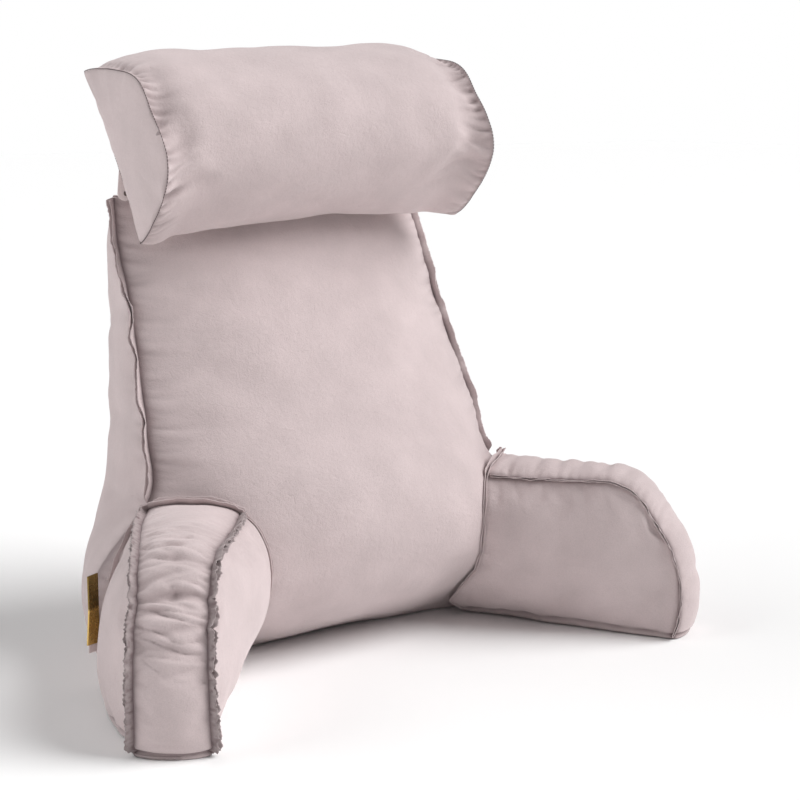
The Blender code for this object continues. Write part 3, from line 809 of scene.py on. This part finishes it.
def cloth_tone():
    """Cloth colour with mottle and with painted shade in its creases and seams."""
    group, given, out = group_nodes(
        "Cloth tone",
        [("Colour", "NodeSocketColor", None), ("Shade", "NodeSocketColor", None),
         ("Mottle", "NodeSocketFloat", 0.5), ("Crease", "NodeSocketFloat", 0.0)],
        [("Colour", "NodeSocketColor")])
    if given is None:
        return group
    light = add_node(group, "ShaderNodeMapRange",
                     {"Value": given.outputs["Mottle"], "From Min": 0.3, "From Max": 0.7,
                      "To Min": 0.88, "To Max": 1.10})
    toned = add_node(group, "ShaderNodeVectorMath", {0: given.outputs["Colour"],
                     "Scale": light.outputs["Result"]}, operation="SCALE")
    shaded = add_node(group, "ShaderNodeMix", data_type="RGBA")
    group.links.new(given.outputs["Crease"], shaded.inputs["Factor"])
    group.links.new(toned.outputs["Vector"], shaded.inputs["A"])
    group.links.new(given.outputs["Shade"], shaded.inputs["B"])
    group.links.new(shaded.outputs["Result"], out.inputs["Colour"])
    return group


def cloth_material(name, colour, bump=0.0011, sheen=0.35):
    """A brushed cloth: grain, crinkle, mottled colour and a soft sheen."""
    found = bpy.data.materials.get(name)
    if found:
        return found
    cloth = bpy.context.scene.pillow_cloth
    material = bpy.data.materials.new(name)
    material.use_nodes = True
    tree = material.node_tree
    shader = tree.nodes["Principled BSDF"]
    where = add_node(tree, "ShaderNodeTexCoord")
    grain = add_node(tree, "ShaderNodeGroup", node_tree=cloth_grain())
    grain.inputs["Grain"].default_value = cloth.grain
    tree.links.new(where.outputs["Object"], grain.inputs["Place"])
    # the piece's painted shade darkens the cloth's tone
    painted_shade = add_node(tree, "ShaderNodeAttribute", attribute_name="painted_shade")
    tone = add_node(tree, "ShaderNodeGroup", node_tree=cloth_tone())
    tone.inputs["Colour"].default_value = (*colour, 1)
    tone.inputs["Shade"].default_value = (*cloth.shade, 1)
    tree.links.new(grain.outputs["Mottle"], tone.inputs["Mottle"])
    tree.links.new(painted_shade.outputs["Fac"], tone.inputs["Crease"])
    relief = add_node(tree, "ShaderNodeBump", {"Height": grain.outputs["Height"],
                                               "Strength": 1.0, "Distance": bump})
    tree.links.new(tone.outputs["Colour"], shader.inputs["Base Color"])
    tree.links.new(relief.outputs["Normal"], shader.inputs["Normal"])
    shader.inputs["Roughness"].default_value = 0.88
    shader.inputs["Specular IOR Level"].default_value = 0.25
    shader.inputs["Sheen Weight"].default_value = sheen
    shader.inputs["Sheen Roughness"].default_value = 0.55
    shader.inputs["Sheen Tint"].default_value = (1.0, 0.94, 0.94, 1)
    return material


def metal_material(name, colour, roughness, scratch=0.25):
    """A metal whose finish wears unevenly."""
    found = bpy.data.materials.get(name)
    if found:
        return found
    material = bpy.data.materials.new(name)
    material.use_nodes = True
    tree = material.node_tree
    shader = tree.nodes["Principled BSDF"]
    where = add_node(tree, "ShaderNodeTexCoord")
    wear = add_node(tree, "ShaderNodeTexNoise", {"Vector": where.outputs["Object"],
                                                 "Scale": 260.0, "Detail": 5.0})
    rough = add_node(tree, "ShaderNodeMapRange",
                     {"Value": wear.outputs["Fac"], "To Min": roughness * 0.7,
                      "To Max": roughness * 1.5})
    dark = tuple(c * (1 - scratch) for c in colour)
    # The plate's upper half is darkened by the same attribute: a painted dark reflection
    shaded = add_node(tree, "ShaderNodeAttribute", attribute_name="painted_shade")
    dark_reflection = add_node(tree, "ShaderNodeMix", data_type="RGBA")
    dark_reflection.inputs["B"].default_value = tuple(c * DARK_REFLECTION_TONE for c in colour) + (1,)
    tree.links.new(shaded.outputs["Fac"], dark_reflection.inputs["Factor"])
    tone = add_node(tree, "ShaderNodeMix", data_type="RGBA")
    tone.inputs["A"].default_value = (*colour, 1)
    tone.inputs["B"].default_value = (*dark, 1)
    tree.links.new(wear.outputs["Fac"], tone.inputs["Factor"])
    tree.links.new(tone.outputs["Result"], dark_reflection.inputs["A"])
    tree.links.new(dark_reflection.outputs["Result"], shader.inputs["Base Color"])
    tree.links.new(rough.outputs["Result"], shader.inputs["Roughness"])
    shader.inputs["Metallic"].default_value = 1.0
    return material


def cover_material():
    return cloth_material("peach skin cover", bpy.context.scene.pillow_cloth.cover)


def edge_material():
    """A darker copy of the cover, for the frayed raw edges."""
    cover = bpy.context.scene.pillow_cloth.cover
    return cloth_material("raw cloth edge", [c * EDGE_TONE for c in cover], 0.0008)


class PILLOW_OT_back(bpy.types.Operator):
    """Make the back cushion with its raised welts"""

    bl_idname = "pillow.back"
    bl_label = "Back cushion"

    def execute(self, context):
        cloth, seams = context.scene.pillow_cloth, context.scene.pillow_seams
        cuts = cube_cuts(*BACK_CUTS)
        index, coords, quads = sewn_grid(cuts)
        points = np.array([back_point(*place) for place in coords])
        wrinkles = settled("back_settling", back_point, cube_cuts(*BACK_COARSE), coords, quads,
                           ((2, -1),))
        points += wrinkles * np.clip((1 - coords[:, 2:]) / TOP_CALM, TOP_CALM_LEAST, 1.0)
        normals = normals_of(points, quads)
        u, v, w = coords.T
        lift = (w + 1) / 2 * BACK_HEIGHT
        relief = lumps(points, *BACK_LUMPS) * swell_all(u) + lumps(points, *BACK_SMALL_LUMPS)
        painted_shade = np.zeros(len(points))
        for side in (-1, 1):
            rows = gather_rows(20 + side, BACK_HEIGHT, BACK_GATHERS)
            gusset = (u == side)
            off = np.where(gusset, (v + 1) / 2 * GUSSET_DEPTH, np.abs(u - side) * FRONT_HALF)
            near = gusset | (v == -1)
            sunk = gather_relief(rows, lift, off) * near * (w < 1)
            relief += sunk
            # Painted shade: dark lines along the front seams and in the gathers beside them
            painted_shade += (seam_shade(off, BACK_SHADE) + fold_shade(sunk, BACK_SHADE)) * near
        relief *= (np.abs(w) < 1)
        points += normals * relief[:, None]
        points[:, 2] = np.maximum(points[:, 2], 0.0)
        piece = new_piece("back_pad", points, quads, cover_material(), painted_shade)
        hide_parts("back_cushion")
        self.welts(index, points, normals_of(points, quads), cuts, seams)
        return {"FINISHED"}

    def welts(self, index, points, normals, cuts, seams):
        """Raised welts up both front edges and over the top."""
        last_u, last_w = len(cuts[0]) - 1, len(cuts[2]) - 1
        low = next(k for k, w in enumerate(cuts[2]) if (w + 1) / 2 > WELT_FROM)
        for name, i in (("left", 0), ("right", last_u)):
            keys = [(i, 0, k) for k in range(low, last_w + 1)]
            path, out = edge_path(index, points, normals, keys)
            ruffle(f"back_welt_{name}", path, out, seams.welt_width, SIDE_WELT,
                   cover_material(), 5 + i)
        keys = [(k, 0, last_w) for k in range(last_u + 1)]
        path, out = edge_path(index, points, normals, keys)
        ruffle("back_welt_top", path, out, seams.welt_width, TOP_WELT, cover_material(), 8)


class PILLOW_OT_arms(bpy.types.Operator):
    """Make both arms with their gathered strips and raw seam edges"""

    bl_idname = "pillow.arms"
    bl_label = "Arms"

    def execute(self, context):
        cloth, seams = context.scene.pillow_cloth, context.scene.pillow_seams
        back = surface_of(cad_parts["back_cushion"])
        for name, side in (("left", -1), ("right", 1)):
            self.arm(name, side, back, cloth, seams)
        return {"FINISHED"}

    def arm(self, name, side, back, cloth, seams):
        cuts = cube_cuts(*ARM_CUTS)
        index, coords, quads = sewn_grid(cuts)
        shape = arm_shape(side, back)
        points = np.array([shape(*place) for place in coords])
        quads = outward_faces(points, quads)
        points += settled(f"arm_{name}_settling", shape, cube_cuts(*ARM_COARSE), coords, quads,
                          ((1, -1), (2, -1)))
        normals = normals_of(points, quads)
        u, v, w = coords.T
        s, t = (v + 1) / 2, (w + 1) / 2
        on_top, on_front = w == 1, v == 1
        on_strip = on_top | on_front
        along = np.where(on_top, s * TOP_RUN, TOP_RUN + (1 - t) * FRONT_RUN)
        across = u * STRIP_HALF
        relief = lumps(points, ARM_LUMP_SIZE, ARM_LUMP_HEIGHT, side * 5.0)
        strength = np.clip((0.30 - along) / 0.10, 0.35, 1)
        if side < 0:
            strength = np.clip((along - 0.06) / 0.06, 0.12, 1)
            strength *= np.clip((0.315 - along) / 0.05, 0.2, 1)
        folds = LEFT_CREASES if side < 0 else RIGHT_CREASES
        sunk = np.zeros_like(along)
        for edge in (-1, 1):
            rows = gather_rows(40 + side * 3 + edge, TOP_RUN + FRONT_RUN, STRIP_GATHERS[side])
            sunk += gather_relief(rows, along, (1 - edge * u) * STRIP_HALF) * strength
        sunk += crease_relief(folds, across, along)
        if side < 0:
            drawn = np.zeros_like(along)
            drawn[on_strip] = drawn_folds(along[on_strip], across[on_strip])
            sunk += drawn * strength * DRAWN_DEPTH * (1 - np.abs(u) ** 6)
        relief = np.where(on_strip, relief * STRIP_LUMP_SHARE + sunk, relief)
        for edge in (-1, 1):
            rows = gather_rows(60 + side * 3 + edge, TOP_RUN, PANEL_GATHERS)
            panel = (u == edge) & ~on_strip
            side_off = (1 - t) * ARM_HEIGHT
            relief = relief + np.where(panel, gather_relief(rows, s * TOP_RUN, side_off), 0)
        hem = np.exp(-((t * ARM_HEIGHT - HEM_UP) / HEM_WIDTH) ** 2)
        hem_tuck = 1 + 0.5 * np.sin(along * 320.0 + s * 47.0)
        relief = relief - HEM_DEPTH * hem * hem_tuck
        relief *= (w > -1) & (v > -1)
        fade = np.minimum(1.0, t / 0.02)
        points += normals * (relief * fade)[:, None]
        points[:, 2] = np.maximum(points[:, 2], 0.0)
        # Painted shade: dark lines along the seams and in the strip's folds, in the hem's groove,
        # and a painted contact shadow where the arm meets the floor
        seam_off = np.where(on_strip, (1 - np.abs(u)) * STRIP_HALF,
                            np.minimum((1 - t) * ARM_HEIGHT, (1 - s) * 0.2))
        painted_shade = seam_shade(seam_off, ARM_SHADE) + fold_shade(sunk, ARM_SHADE) * on_strip
        painted_shade += hem * HEM_DARK * (0.75 + 0.25 * hem_tuck)
        painted_shade += np.exp(-t * ARM_HEIGHT / FOOT_LINE) * FOOT_DARK
        piece = new_piece(f"arm_pad_{name}", points, quads, cover_material(), painted_shade)
        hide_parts(f"arm_{name}")
        self.edges(name, side, index, points, normals_of(points, quads), cuts, seams)

    def edges(self, name, side, index, points, normals, cuts, seams):
        """The strip's two raw seams and the flange round the root."""
        last = [len(cut) - 1 for cut in cuts]
        for label, i in (("inner", 0), ("outer", last[0])):
            keys = [(i, j, last[2]) for j in range(2, last[1] + 1)]
            keys += [(i, last[1], k) for k in range(last[2] - 1, 1, -1)]
            path, out = edge_path(index, points, normals, keys)
            sideways = np.array(arm_place(side, 0, 1 if i else -1, 0) - arm_place(side, 0, 0, 0))
            if side < 0:
                edge, material = FRAYED_EDGE, edge_material()
                out = out * FRAYED_OUT + sideways * FRAYED_SIDEWAYS
            else:
                edge, material = OUTER_EDGE if i else INNER_EDGE, cover_material()
                out = out * SMOOTH_OUT + sideways * SMOOTH_SIDEWAYS
            out /= np.linalg.norm(out, axis=1, keepdims=True)
            ruffle(f"arm_{name}_{label}_edge", path, out, seams.strip_width, edge, material,
                   20 + i + side)
        keys = [(0, 0, k) for k in range(2, last[2])]
        keys += [(i, 0, last[2]) for i in range(last[0] + 1)]
        keys += [(last[0], 0, k) for k in range(last[2] - 1, 1, -1)]
        path, _ = edge_path(index, points, normals, keys)
        ahead = np.array(arm_place(side, 1, 0, 0) - arm_place(side, 0, 0, 0))
        outward = np.array(arm_place(side, 0, 1, 0) - arm_place(side, 0, 0, 0))
        out = np.array([outward * (-ROOT_INNER_OUT if i == 0 else 1 if i == last[0] else 0)
                        + np.array((0.0, 0.0, 1.0 if k == last[2] else 0.0))
                        for i, _, k in keys]) + ahead * ROOT_EDGE_AHEAD
        low = np.clip(path[:, 2] / ROOT_EDGE_FROM, 0.15, 1.0)
        ruffle(f"arm_{name}_root_edge", path, out * low[:, None], seams.root_width, ROOT_EDGE,
               cover_material(), 30 + side)


def strip_creases(rows):
    return [Crease(across, along, turn, length, width, depth)
            for along, across, turn, length, width, depth in rows]


# Folds across the strips: along, across, turn, length, width, depth
LEFT_CREASES = strip_creases((
    (0.118, 0.000, 0.10, 0.030, 0.0050, 0.0022),
    (0.142, -0.008, -0.15, 0.026, 0.0045, 0.0030),
    (0.163, 0.010, 0.12, 0.030, 0.0045, 0.0036),
    (0.184, -0.006, -0.08, 0.034, 0.0050, 0.0044),
    (0.205, 0.012, 0.18, 0.026, 0.0045, 0.0040),
    (0.224, -0.004, 0.04, 0.040, 0.0050, 0.0052),
    (0.240, 0.014, -0.20, 0.024, 0.0045, 0.0038),
    (0.255, -0.010, 0.12, 0.030, 0.0050, 0.0046),
    (0.272, 0.006, -0.10, 0.034, 0.0055, 0.0040),
    (0.290, -0.012, 0.15, 0.024, 0.0050, 0.0030),
))
RIGHT_CREASES = strip_creases((
    (0.022, 0.000, 0.06, 0.034, 0.0080, 0.0026),
    (0.055, -0.006, -0.08, 0.030, 0.0080, 0.0028),
    (0.083, 0.004, 0.05, 0.036, 0.0070, 0.0030),
    (0.110, 0.000, -0.04, 0.034, 0.0080, 0.0024),
    (0.140, 0.006, 0.10, 0.028, 0.0080, 0.0026),
    (0.170, -0.008, -0.06, 0.026, 0.0080, 0.0022),
    (0.205, 0.004, 0.08, 0.030, 0.0090, 0.0022),
    (0.250, -0.006, -0.10, 0.028, 0.0090, 0.0020),
    (0.300, 0.004, 0.06, 0.026, 0.0090, 0.0018),
))

ROLL_AROUND = 420
ROLL_LONG = 84
ROLL_EASE = 0.9
ROLL_COARSE_AROUND = 84      # for the cloth simulation
ROLL_COARSE_LONG = (30, 0.6)
PUCKER_MIDDLE = -22.0        # degrees round the roll where the end puckers are deepest
PUCKER_SPREAD = 60.0
PUCKER_LEAST, PUCKER_MORE = 0.55, 0.65   # their depth elsewhere, and how much is added there
ROLL_CLEAR = 0.0012          # the roll's cloth keeps this far from the back and the tabs
END_SIZES = (0.985, 0.95, 0.90, 0.82, 0.72, 0.60, 0.46, 0.32, 0.18, 0.07)   # rings of an end
# Soft folds of the roll: along is its length, off is round it from its lower edge
ROLL_CREASES = (
    Crease(0.10, 0.40, 0.9, 0.045, 0.009, 0.0026),
    Crease(0.13, 0.43, 1.0, 0.040, 0.008, 0.0024),
    Crease(0.065, 0.38, 0.8, 0.030, 0.007, 0.0020),
    Crease(0.165, 0.075, 0.55, 0.034, 0.006, 0.0030),
    Crease(0.178, 0.105, 0.75, 0.030, 0.006, 0.0026),
    Crease(0.140, 0.050, 0.35, 0.036, 0.006, 0.0024),
    Crease(-0.060, 0.060, 0.45, 0.040, 0.008, 0.0018),
    Crease(-0.020, 0.045, 0.30, 0.036, 0.008, 0.0016),
)


class PILLOW_OT_roll(bpy.types.Operator):
    """Make the neck roll with its gathered end seams"""

    bl_idname = "pillow.roll"
    bl_label = "Neck roll"

    def execute(self, context):
        cloth = context.scene.pillow_cloth
        xs = [ROLL_HALF * place for place in places(ROLL_LONG, ROLL_EASE)]
        wrinkles = self.settled_tube(xs)
        lean = np.array(Matrix.Rotation(-ROLL_TILT, 3, "Y") @ Matrix.Rotation(-ROLL_LEAN, 3, "X"))
        grid = np.array([self.ring(x, ROLL_AROUND) for x in xs])
        steps = np.linalg.norm(np.diff(grid, axis=1), axis=2).mean(axis=0)
        around = np.concatenate(([0.0], np.cumsum(steps)))
        along, length = np.meshgrid(around, np.array(xs))
        quads = self.tube(len(xs), ROLL_AROUND)
        points = grid.reshape(-1, 3) + evened(wrinkles, quads, SIM_SMOOTH_ROUNDS)
        normals = normals_of(points, quads)
        if (normals[len(points) // 2] @ (points[len(points) // 2] - points.mean(axis=0))) < 0:
            quads = [loop[::-1] for loop in quads]
            normals = -normals
        relief = lumps(points, *ROLL_LUMPS) + lumps(points, *ROLL_SMALL_LUMPS)
        painted_shade = np.zeros(len(points))
        along, length = along.ravel(), length.ravel()
        turn = np.tile(np.arange(ROLL_AROUND) / ROLL_AROUND * 360 - 90, len(xs))
        middle = np.exp(-((turn - PUCKER_MIDDLE) / PUCKER_SPREAD) ** 2)
        front = PUCKER_LEAST + PUCKER_MORE * middle
        for side, gathers in ROLL_GATHERS.items():
            rows = gather_rows(80 + side, around[-1], gathers)
            off = ROLL_HALF - side * length
            sunk = gather_relief(rows, along, off, ROLL_GATHER_RISE) * front
            relief += sunk
            # Painted shade along the end seams and in their gathers
            painted_shade += seam_shade(off, ROLL_SHADE) + fold_shade(sunk, ROLL_SHADE)
        relief += crease_relief(ROLL_CREASES, length, along)
        edge = np.minimum(1.0, (ROLL_HALF - np.abs(length)) / 0.002)
        points = points + normals * (relief * edge)[:, None]
        points, quads, painted_shade = self.ends(points, quads, painted_shade, len(xs))
        points = points @ lean.T + ROLL_CENTRE
        back = bpy.data.objects["back_pad"]
        tabs = [surface_of(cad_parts[f"tab_{name}"]) for name in ("left", "right")]
        points = keep_clear(points, [surface_of(back)], ROLL_CLEAR)
        points = keep_clear(points, tabs, ROLL_CLEAR, TAB_THICKNESS)
        piece = new_piece("neck_roll_pad", points, quads, cover_material(), painted_shade)
        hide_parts("neck_roll")
        self.stitches(points, cloth)
        return {"FINISHED"}

    def tube(self, rings, around):
        """Faces of a tube of rings."""
        return [(i * around + k, (i + 1) * around + k,
                 (i + 1) * around + (k + 1) % around, i * around + (k + 1) % around)
                for i in range(rings - 1) for k in range(around)]

    def settled_tube(self, xs):
        """Movement of the tube panel, found on a coarse tube held at its end seams."""
        around = ROLL_COARSE_AROUND
        coarse = [ROLL_HALF * place for place in places(*ROLL_COARSE_LONG)]
        points = np.concatenate([self.ring(x, around) for x in coarse])
        held = np.abs(points[:, 0]) > ROLL_HALF - 0.001
        quads = outward_faces(points, self.tube(len(coarse), around))
        moved = settle("roll_settling", points, quads, held)
        table = moved.reshape(len(coarse), around, 3)
        table = np.concatenate((table, table[:, :1]), axis=1)
        turn, length = np.meshgrid(np.arange(ROLL_AROUND) / ROLL_AROUND, np.array(xs))
        return between(table, coarse, np.arange(around + 1) / around, length.ravel(), turn.ravel())

    def ring(self, x, around):
        """One D-shaped ring of the tube panel."""
        share = 1 - abs(x) / ROLL_HALF
        row, keep = row_at(ROLL_ROWS, share), (1 - share) ** ROLL_END_FADE
        ring = []
        for k in range(around):
            angle = 2 * math.pi * k / around - math.pi / 2
            forward, up = math.cos(angle), math.sin(angle)
            reach = row.front * (1 - ROLL_TOP_SLACK * max(up, 0.0)) if forward > 0 else row.back
            out = reach * math.copysign(abs(forward) ** row.corner, forward)
            rise = up * (row.top if up > 0 else row.low)
            seam_out = -ROLL_END_HOLLOW * forward
            seam_rise = up * (ROLL_END_ROWS[-1].reach if up > 0 else ROLL_END_ROWS[0].reach)
            if forward > 0:
                edge = row_at(ROLL_END_ROWS, math.degrees(math.asin(up))).reach
                seam_out, seam_rise = edge * forward, edge * up
            ring.append((x, -mix(out, seam_out, keep), mix(rise, seam_rise, keep)))
        return ring

    def ends(self, points, quads, painted_shade, count):
        """Closes both ends with panels that swell a little."""
        points, quads, painted_shade = list(points), list(quads), list(painted_shade)
        for side, base in ((-1, 0), (1, (count - 1) * ROLL_AROUND)):
            outer = list(range(base, base + ROLL_AROUND))
            rim = np.array([points[k] for k in outer])
            middle = rim.mean(axis=0)
            for shrink in END_SIZES:
                inner = []
                for spot in rim:
                    place = middle + (spot - middle) * shrink
                    wrinkle = noise.noise(Vector(spot) / 0.02) * 0.0025 * shrink**3
                    place[0] += side * (ROLL_END_CROWN * (1 - shrink**4) ** 0.7 + wrinkle)
                    place[0] += side * noise.noise(Vector(place) / 0.05) * 0.002 * (1 - shrink)
                    inner.append(len(points))
                    points.append(place)
                    # Painted shade in a narrow ring next to each end seam
                    painted_shade.append(0.5 * math.exp(-(1 - shrink) * 0.1 / 0.0012))
                for k in range(ROLL_AROUND):
                    n = (k + 1) % ROLL_AROUND
                    loop = (outer[k], outer[n], inner[n], inner[k])
                    quads.append(loop if side < 0 else loop[::-1])
                outer = inner
            quads.append(outer if side < 0 else outer[::-1])
        return np.array(points), quads, np.array(painted_shade)

    def stitches(self, points, cloth):
        """A row of dark stitches in each end seam."""
        material = cloth_material("seam thread", cloth.thread, 0.0001, 0.1)
        for name, side, base in (("left", -1, 0), ("right", 1, ROLL_LONG * ROLL_AROUND)):
            ring = points[base:base + ROLL_AROUND]
            proud = np.array((side * STITCH_PROUD, 0.0, 0.0))
            verts, faces = [], []
            for k in range(0, ROLL_AROUND, 2):
                a, b = ring[k], ring[(k + 1) % ROLL_AROUND]
                tangent = (b - a) / max(np.linalg.norm(b - a), 1e-9)
                across = np.cross(tangent, (1.0, 0.0, 0.0))
                first = len(verts)
                for end in (a - tangent * STITCH_PAST, b + tangent * STITCH_PAST):
                    for corner in range(STITCH_SIDES):
                        turn = corner * 2 * math.pi / STITCH_SIDES
                        spoke = np.array((math.cos(turn), 0.0, 0.0)) + across * math.sin(turn)
                        verts.append(end + proud + spoke * STITCH_RADIUS)
                near = list(range(first, first + STITCH_SIDES))
                far = [corner + STITCH_SIDES for corner in near]
                faces += [(near[k - 1], near[k], far[k], far[k - 1]) for k in range(STITCH_SIDES)]
                faces += [near[::-1], far]
            new_piece(f"roll_stitches_{name}", verts, faces, material)


class PILLOW_OT_tabs(bpy.types.Operator):
    """Make the pale snap tabs and finish the press studs"""

    bl_idname = "pillow.tabs"
    bl_label = "Snap tabs"

    def execute(self, context):
        cloth = context.scene.pillow_cloth
        pale = cloth_material("pale tab cloth", cloth.tab, 0.0003, 0.2)
        stud = metal_material("dark stud metal", (0.16, 0.13, 0.12), 0.35)
        for name, side in (("left", -1), ("right", 1)):
            _, coords, quads = sewn_grid(cube_cuts(*TAB_CUTS))
            points = np.array([self.place(side, *spot) for spot in coords])
            quads = outward_faces(points, quads)
            piece = new_piece(f"snap_tab_{name}", points, quads, pale,
                              np.zeros(len(points)))
            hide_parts(f"tab_{name}")
            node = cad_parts[f"snap_{name}"]
            node.data.materials.clear()
            node.data.materials.append(stud)
        return {"FINISHED"}

    def place(self, side, u, v, w):
        t = (w + 1) / 2
        narrow = math.sqrt(max(0.0, 1 - max(0.0, 1 - t / TAB_ROUND_SHARE) ** 2))
        x = side * (TAB_X + u * TAB_WIDTH / 2 * max(narrow, TAB_BLUNT))
        thick = TAB_THICKNESS * (1 - TAB_EDGE_THIN * abs(u) ** 6)
        spot = Matrix.Rotation(TAB_LEAN, 3, "X") @ Vector((0.0, v * thick / 2, TAB_LENGTH * t))
        return (x, TAB_END.x + spot.y, TAB_END.y + spot.z)


class PILLOW_OT_label(bpy.types.Operator):
    """Make the bare label plate and its ribbon"""

    bl_idname = "pillow.label"
    bl_label = "Label plate"

    def execute(self, context):
        cloth = context.scene.pillow_cloth
        gold = metal_material("gold plate", (0.90, 0.62, 0.20), 0.26, 0.30)
        pale = cloth_material("pale tab cloth", cloth.tab, 0.0003, 0.2)
        plate = self.tag("label_plate_bare", PLATE, 0.0, LABEL_LOW, gold, "plate_metal")
        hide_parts("label_plate")
        behind = -(PLATE.y / 2 + RIBBON.y / 2 + GAP)
        ribbon = self.tag("label_ribbon_cloth", RIBBON, behind, LABEL_LOW - RIBBON_SHOWS, pale,
                          "tab_cloth")
        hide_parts("label_ribbon")
        return {"FINISHED"}

    def tag(self, name, size, sunk, low, material, slot):
        """A flat tag with rounded edges that stands out of the arm's root seam."""
        _, coords, quads = sewn_grid(cube_cuts(*TAG_CUTS))
        out = Vector((-math.cos(LABEL_TURN), -math.sin(LABEL_TURN), 0.0))
        through = Vector((-out.y, out.x, 0.0))
        points, dark_reflection = [], []
        for u, v, w in coords:
            t = (w + 1) / 2
            # the upper half is marked for a painted dark reflection
            dark_reflection.append(DARK_REFLECTION if t > DARK_REFLECTION_FROM else 0.0)
            bend = LABEL_BEND * max(0.0, 1 - t / BEND_SHARE)
            spot = LABEL_FOOT + out * (size.x * (u + 1) / 2)
            spot += through * (sunk + size.y * v / 2 - bend * (u + 1) / 2)
            spot.z = low + size.z * t
            points.append(spot)
        piece = new_piece(name, points, quads, material,
                          np.array(dark_reflection) if slot == "plate_metal" else np.zeros(len(points)))
        apply_modifier(piece, "BEVEL", width=min(size.y, TAG_ROUNDING_MOST) * TAG_ROUNDING,
                       segments=3, limit_method="ANGLE")
        return piece


class PILLOW_OT_stage(bpy.types.Operator):
    """Make the pale floor, the soft studio light and the camera"""

    bl_idname = "pillow.stage"
    bl_label = "Floor, light and camera"

    def execute(self, context):
        stage = context.scene.pillow_stage
        bpy.ops.object.select_all(action="DESELECT")
        bpy.ops.mesh.primitive_plane_add(size=FLOOR_SIZE, location=(0, 0, 0))
        floor = context.object
        floor.name = "floor"
        paint = bpy.data.materials.new("pale floor")
        paint.use_nodes = True
        shader = paint.node_tree.nodes["Principled BSDF"]
        shader.inputs["Base Color"].default_value = (*stage.floor, 1)
        shader.inputs["Roughness"].default_value = 0.9
        floor.data.materials.append(paint)
        world = bpy.data.worlds.new("studio")
        context.scene.world = world
        world.use_nodes = True
        sky = world.node_tree.nodes["Background"]
        sky.inputs["Color"].default_value = (1, 1, 1, 1)
        tree = world.node_tree
        seen = add_node(tree, "ShaderNodeLightPath")
        strength = add_node(tree, "ShaderNodeMapRange",
                            {"Value": seen.outputs["Is Camera Ray"], "To Min": stage.sky,
                             "To Max": stage.backdrop})
        tree.links.new(strength.outputs["Result"], sky.inputs["Strength"])
        self.lamp("key", KEY_FROM, KEY_SPREAD, stage.key)
        self.lamp("fill", FILL_FROM, FILL_SPREAD, stage.fill)
        context.scene.view_settings.view_transform = "Standard"
        data = bpy.data.cameras.new("photo camera")
        camera = bpy.data.objects.new("photo camera", data)
        context.scene.collection.objects.link(camera)
        camera.location = CAMERA_AT
        camera.rotation_mode = "QUATERNION"
        camera.rotation_quaternion = (CAMERA_LOOKS_AT - CAMERA_AT).to_track_quat("-Z", "Y")
        data.sensor_width = CAMERA_SENSOR
        data.lens = CAMERA_LENS
        data.clip_start, data.clip_end = CAMERA_NEAR, CAMERA_FAR
        context.scene.camera = camera
        return {"FINISHED"}

    def lamp(self, name, comes_from, spread, strength):
        """A far, wide light whose rays come from the given direction."""
        data = bpy.data.lights.new(name, "SUN")
        data.angle, data.energy = math.radians(spread), strength
        lamp = bpy.data.objects.new(name, data)
        bpy.context.scene.collection.objects.link(lamp)
        lamp.rotation_mode = "QUATERNION"
        lamp.rotation_quaternion = Vector(comes_from).to_track_quat("Z", "Y")


OPERATORS = (PILLOW_OT_back, PILLOW_OT_arms, PILLOW_OT_roll, PILLOW_OT_tabs, PILLOW_OT_label,
             PILLOW_OT_stage)


class PILLOW_PT_panel(bpy.types.Panel):
    """Buttons that make the pillow's pieces"""

    bl_label = "Backrest pillow"
    bl_idname = "PILLOW_PT_panel"
    bl_space_type = "VIEW_3D"
    bl_region_type = "UI"
    bl_category = "Pillow"

    def draw(self, context):
        for operator in OPERATORS:
            self.layout.operator(operator.bl_idname)


SETTINGS = (("pillow_cloth", PillowCloth), ("pillow_seams", PillowSeams),
            ("pillow_stage", PillowStage))


def register():
    for name, group in SETTINGS:
        bpy.utils.register_class(group)
        setattr(bpy.types.Scene, name, bpy.props.PointerProperty(type=group))
    for item in (*OPERATORS, PILLOW_PT_panel):
        bpy.utils.register_class(item)


def unregister():
    for item in reversed((*OPERATORS, PILLOW_PT_panel)):
        bpy.utils.unregister_class(item)
    for name, group in reversed(SETTINGS):
        delattr(bpy.types.Scene, name)
        bpy.utils.unregister_class(group)


def main():
    register()
    for operator in OPERATORS:
        group, name = operator.bl_idname.split(".")
        getattr(getattr(bpy.ops, group), name)()


if __name__ == "__main__":
    main()
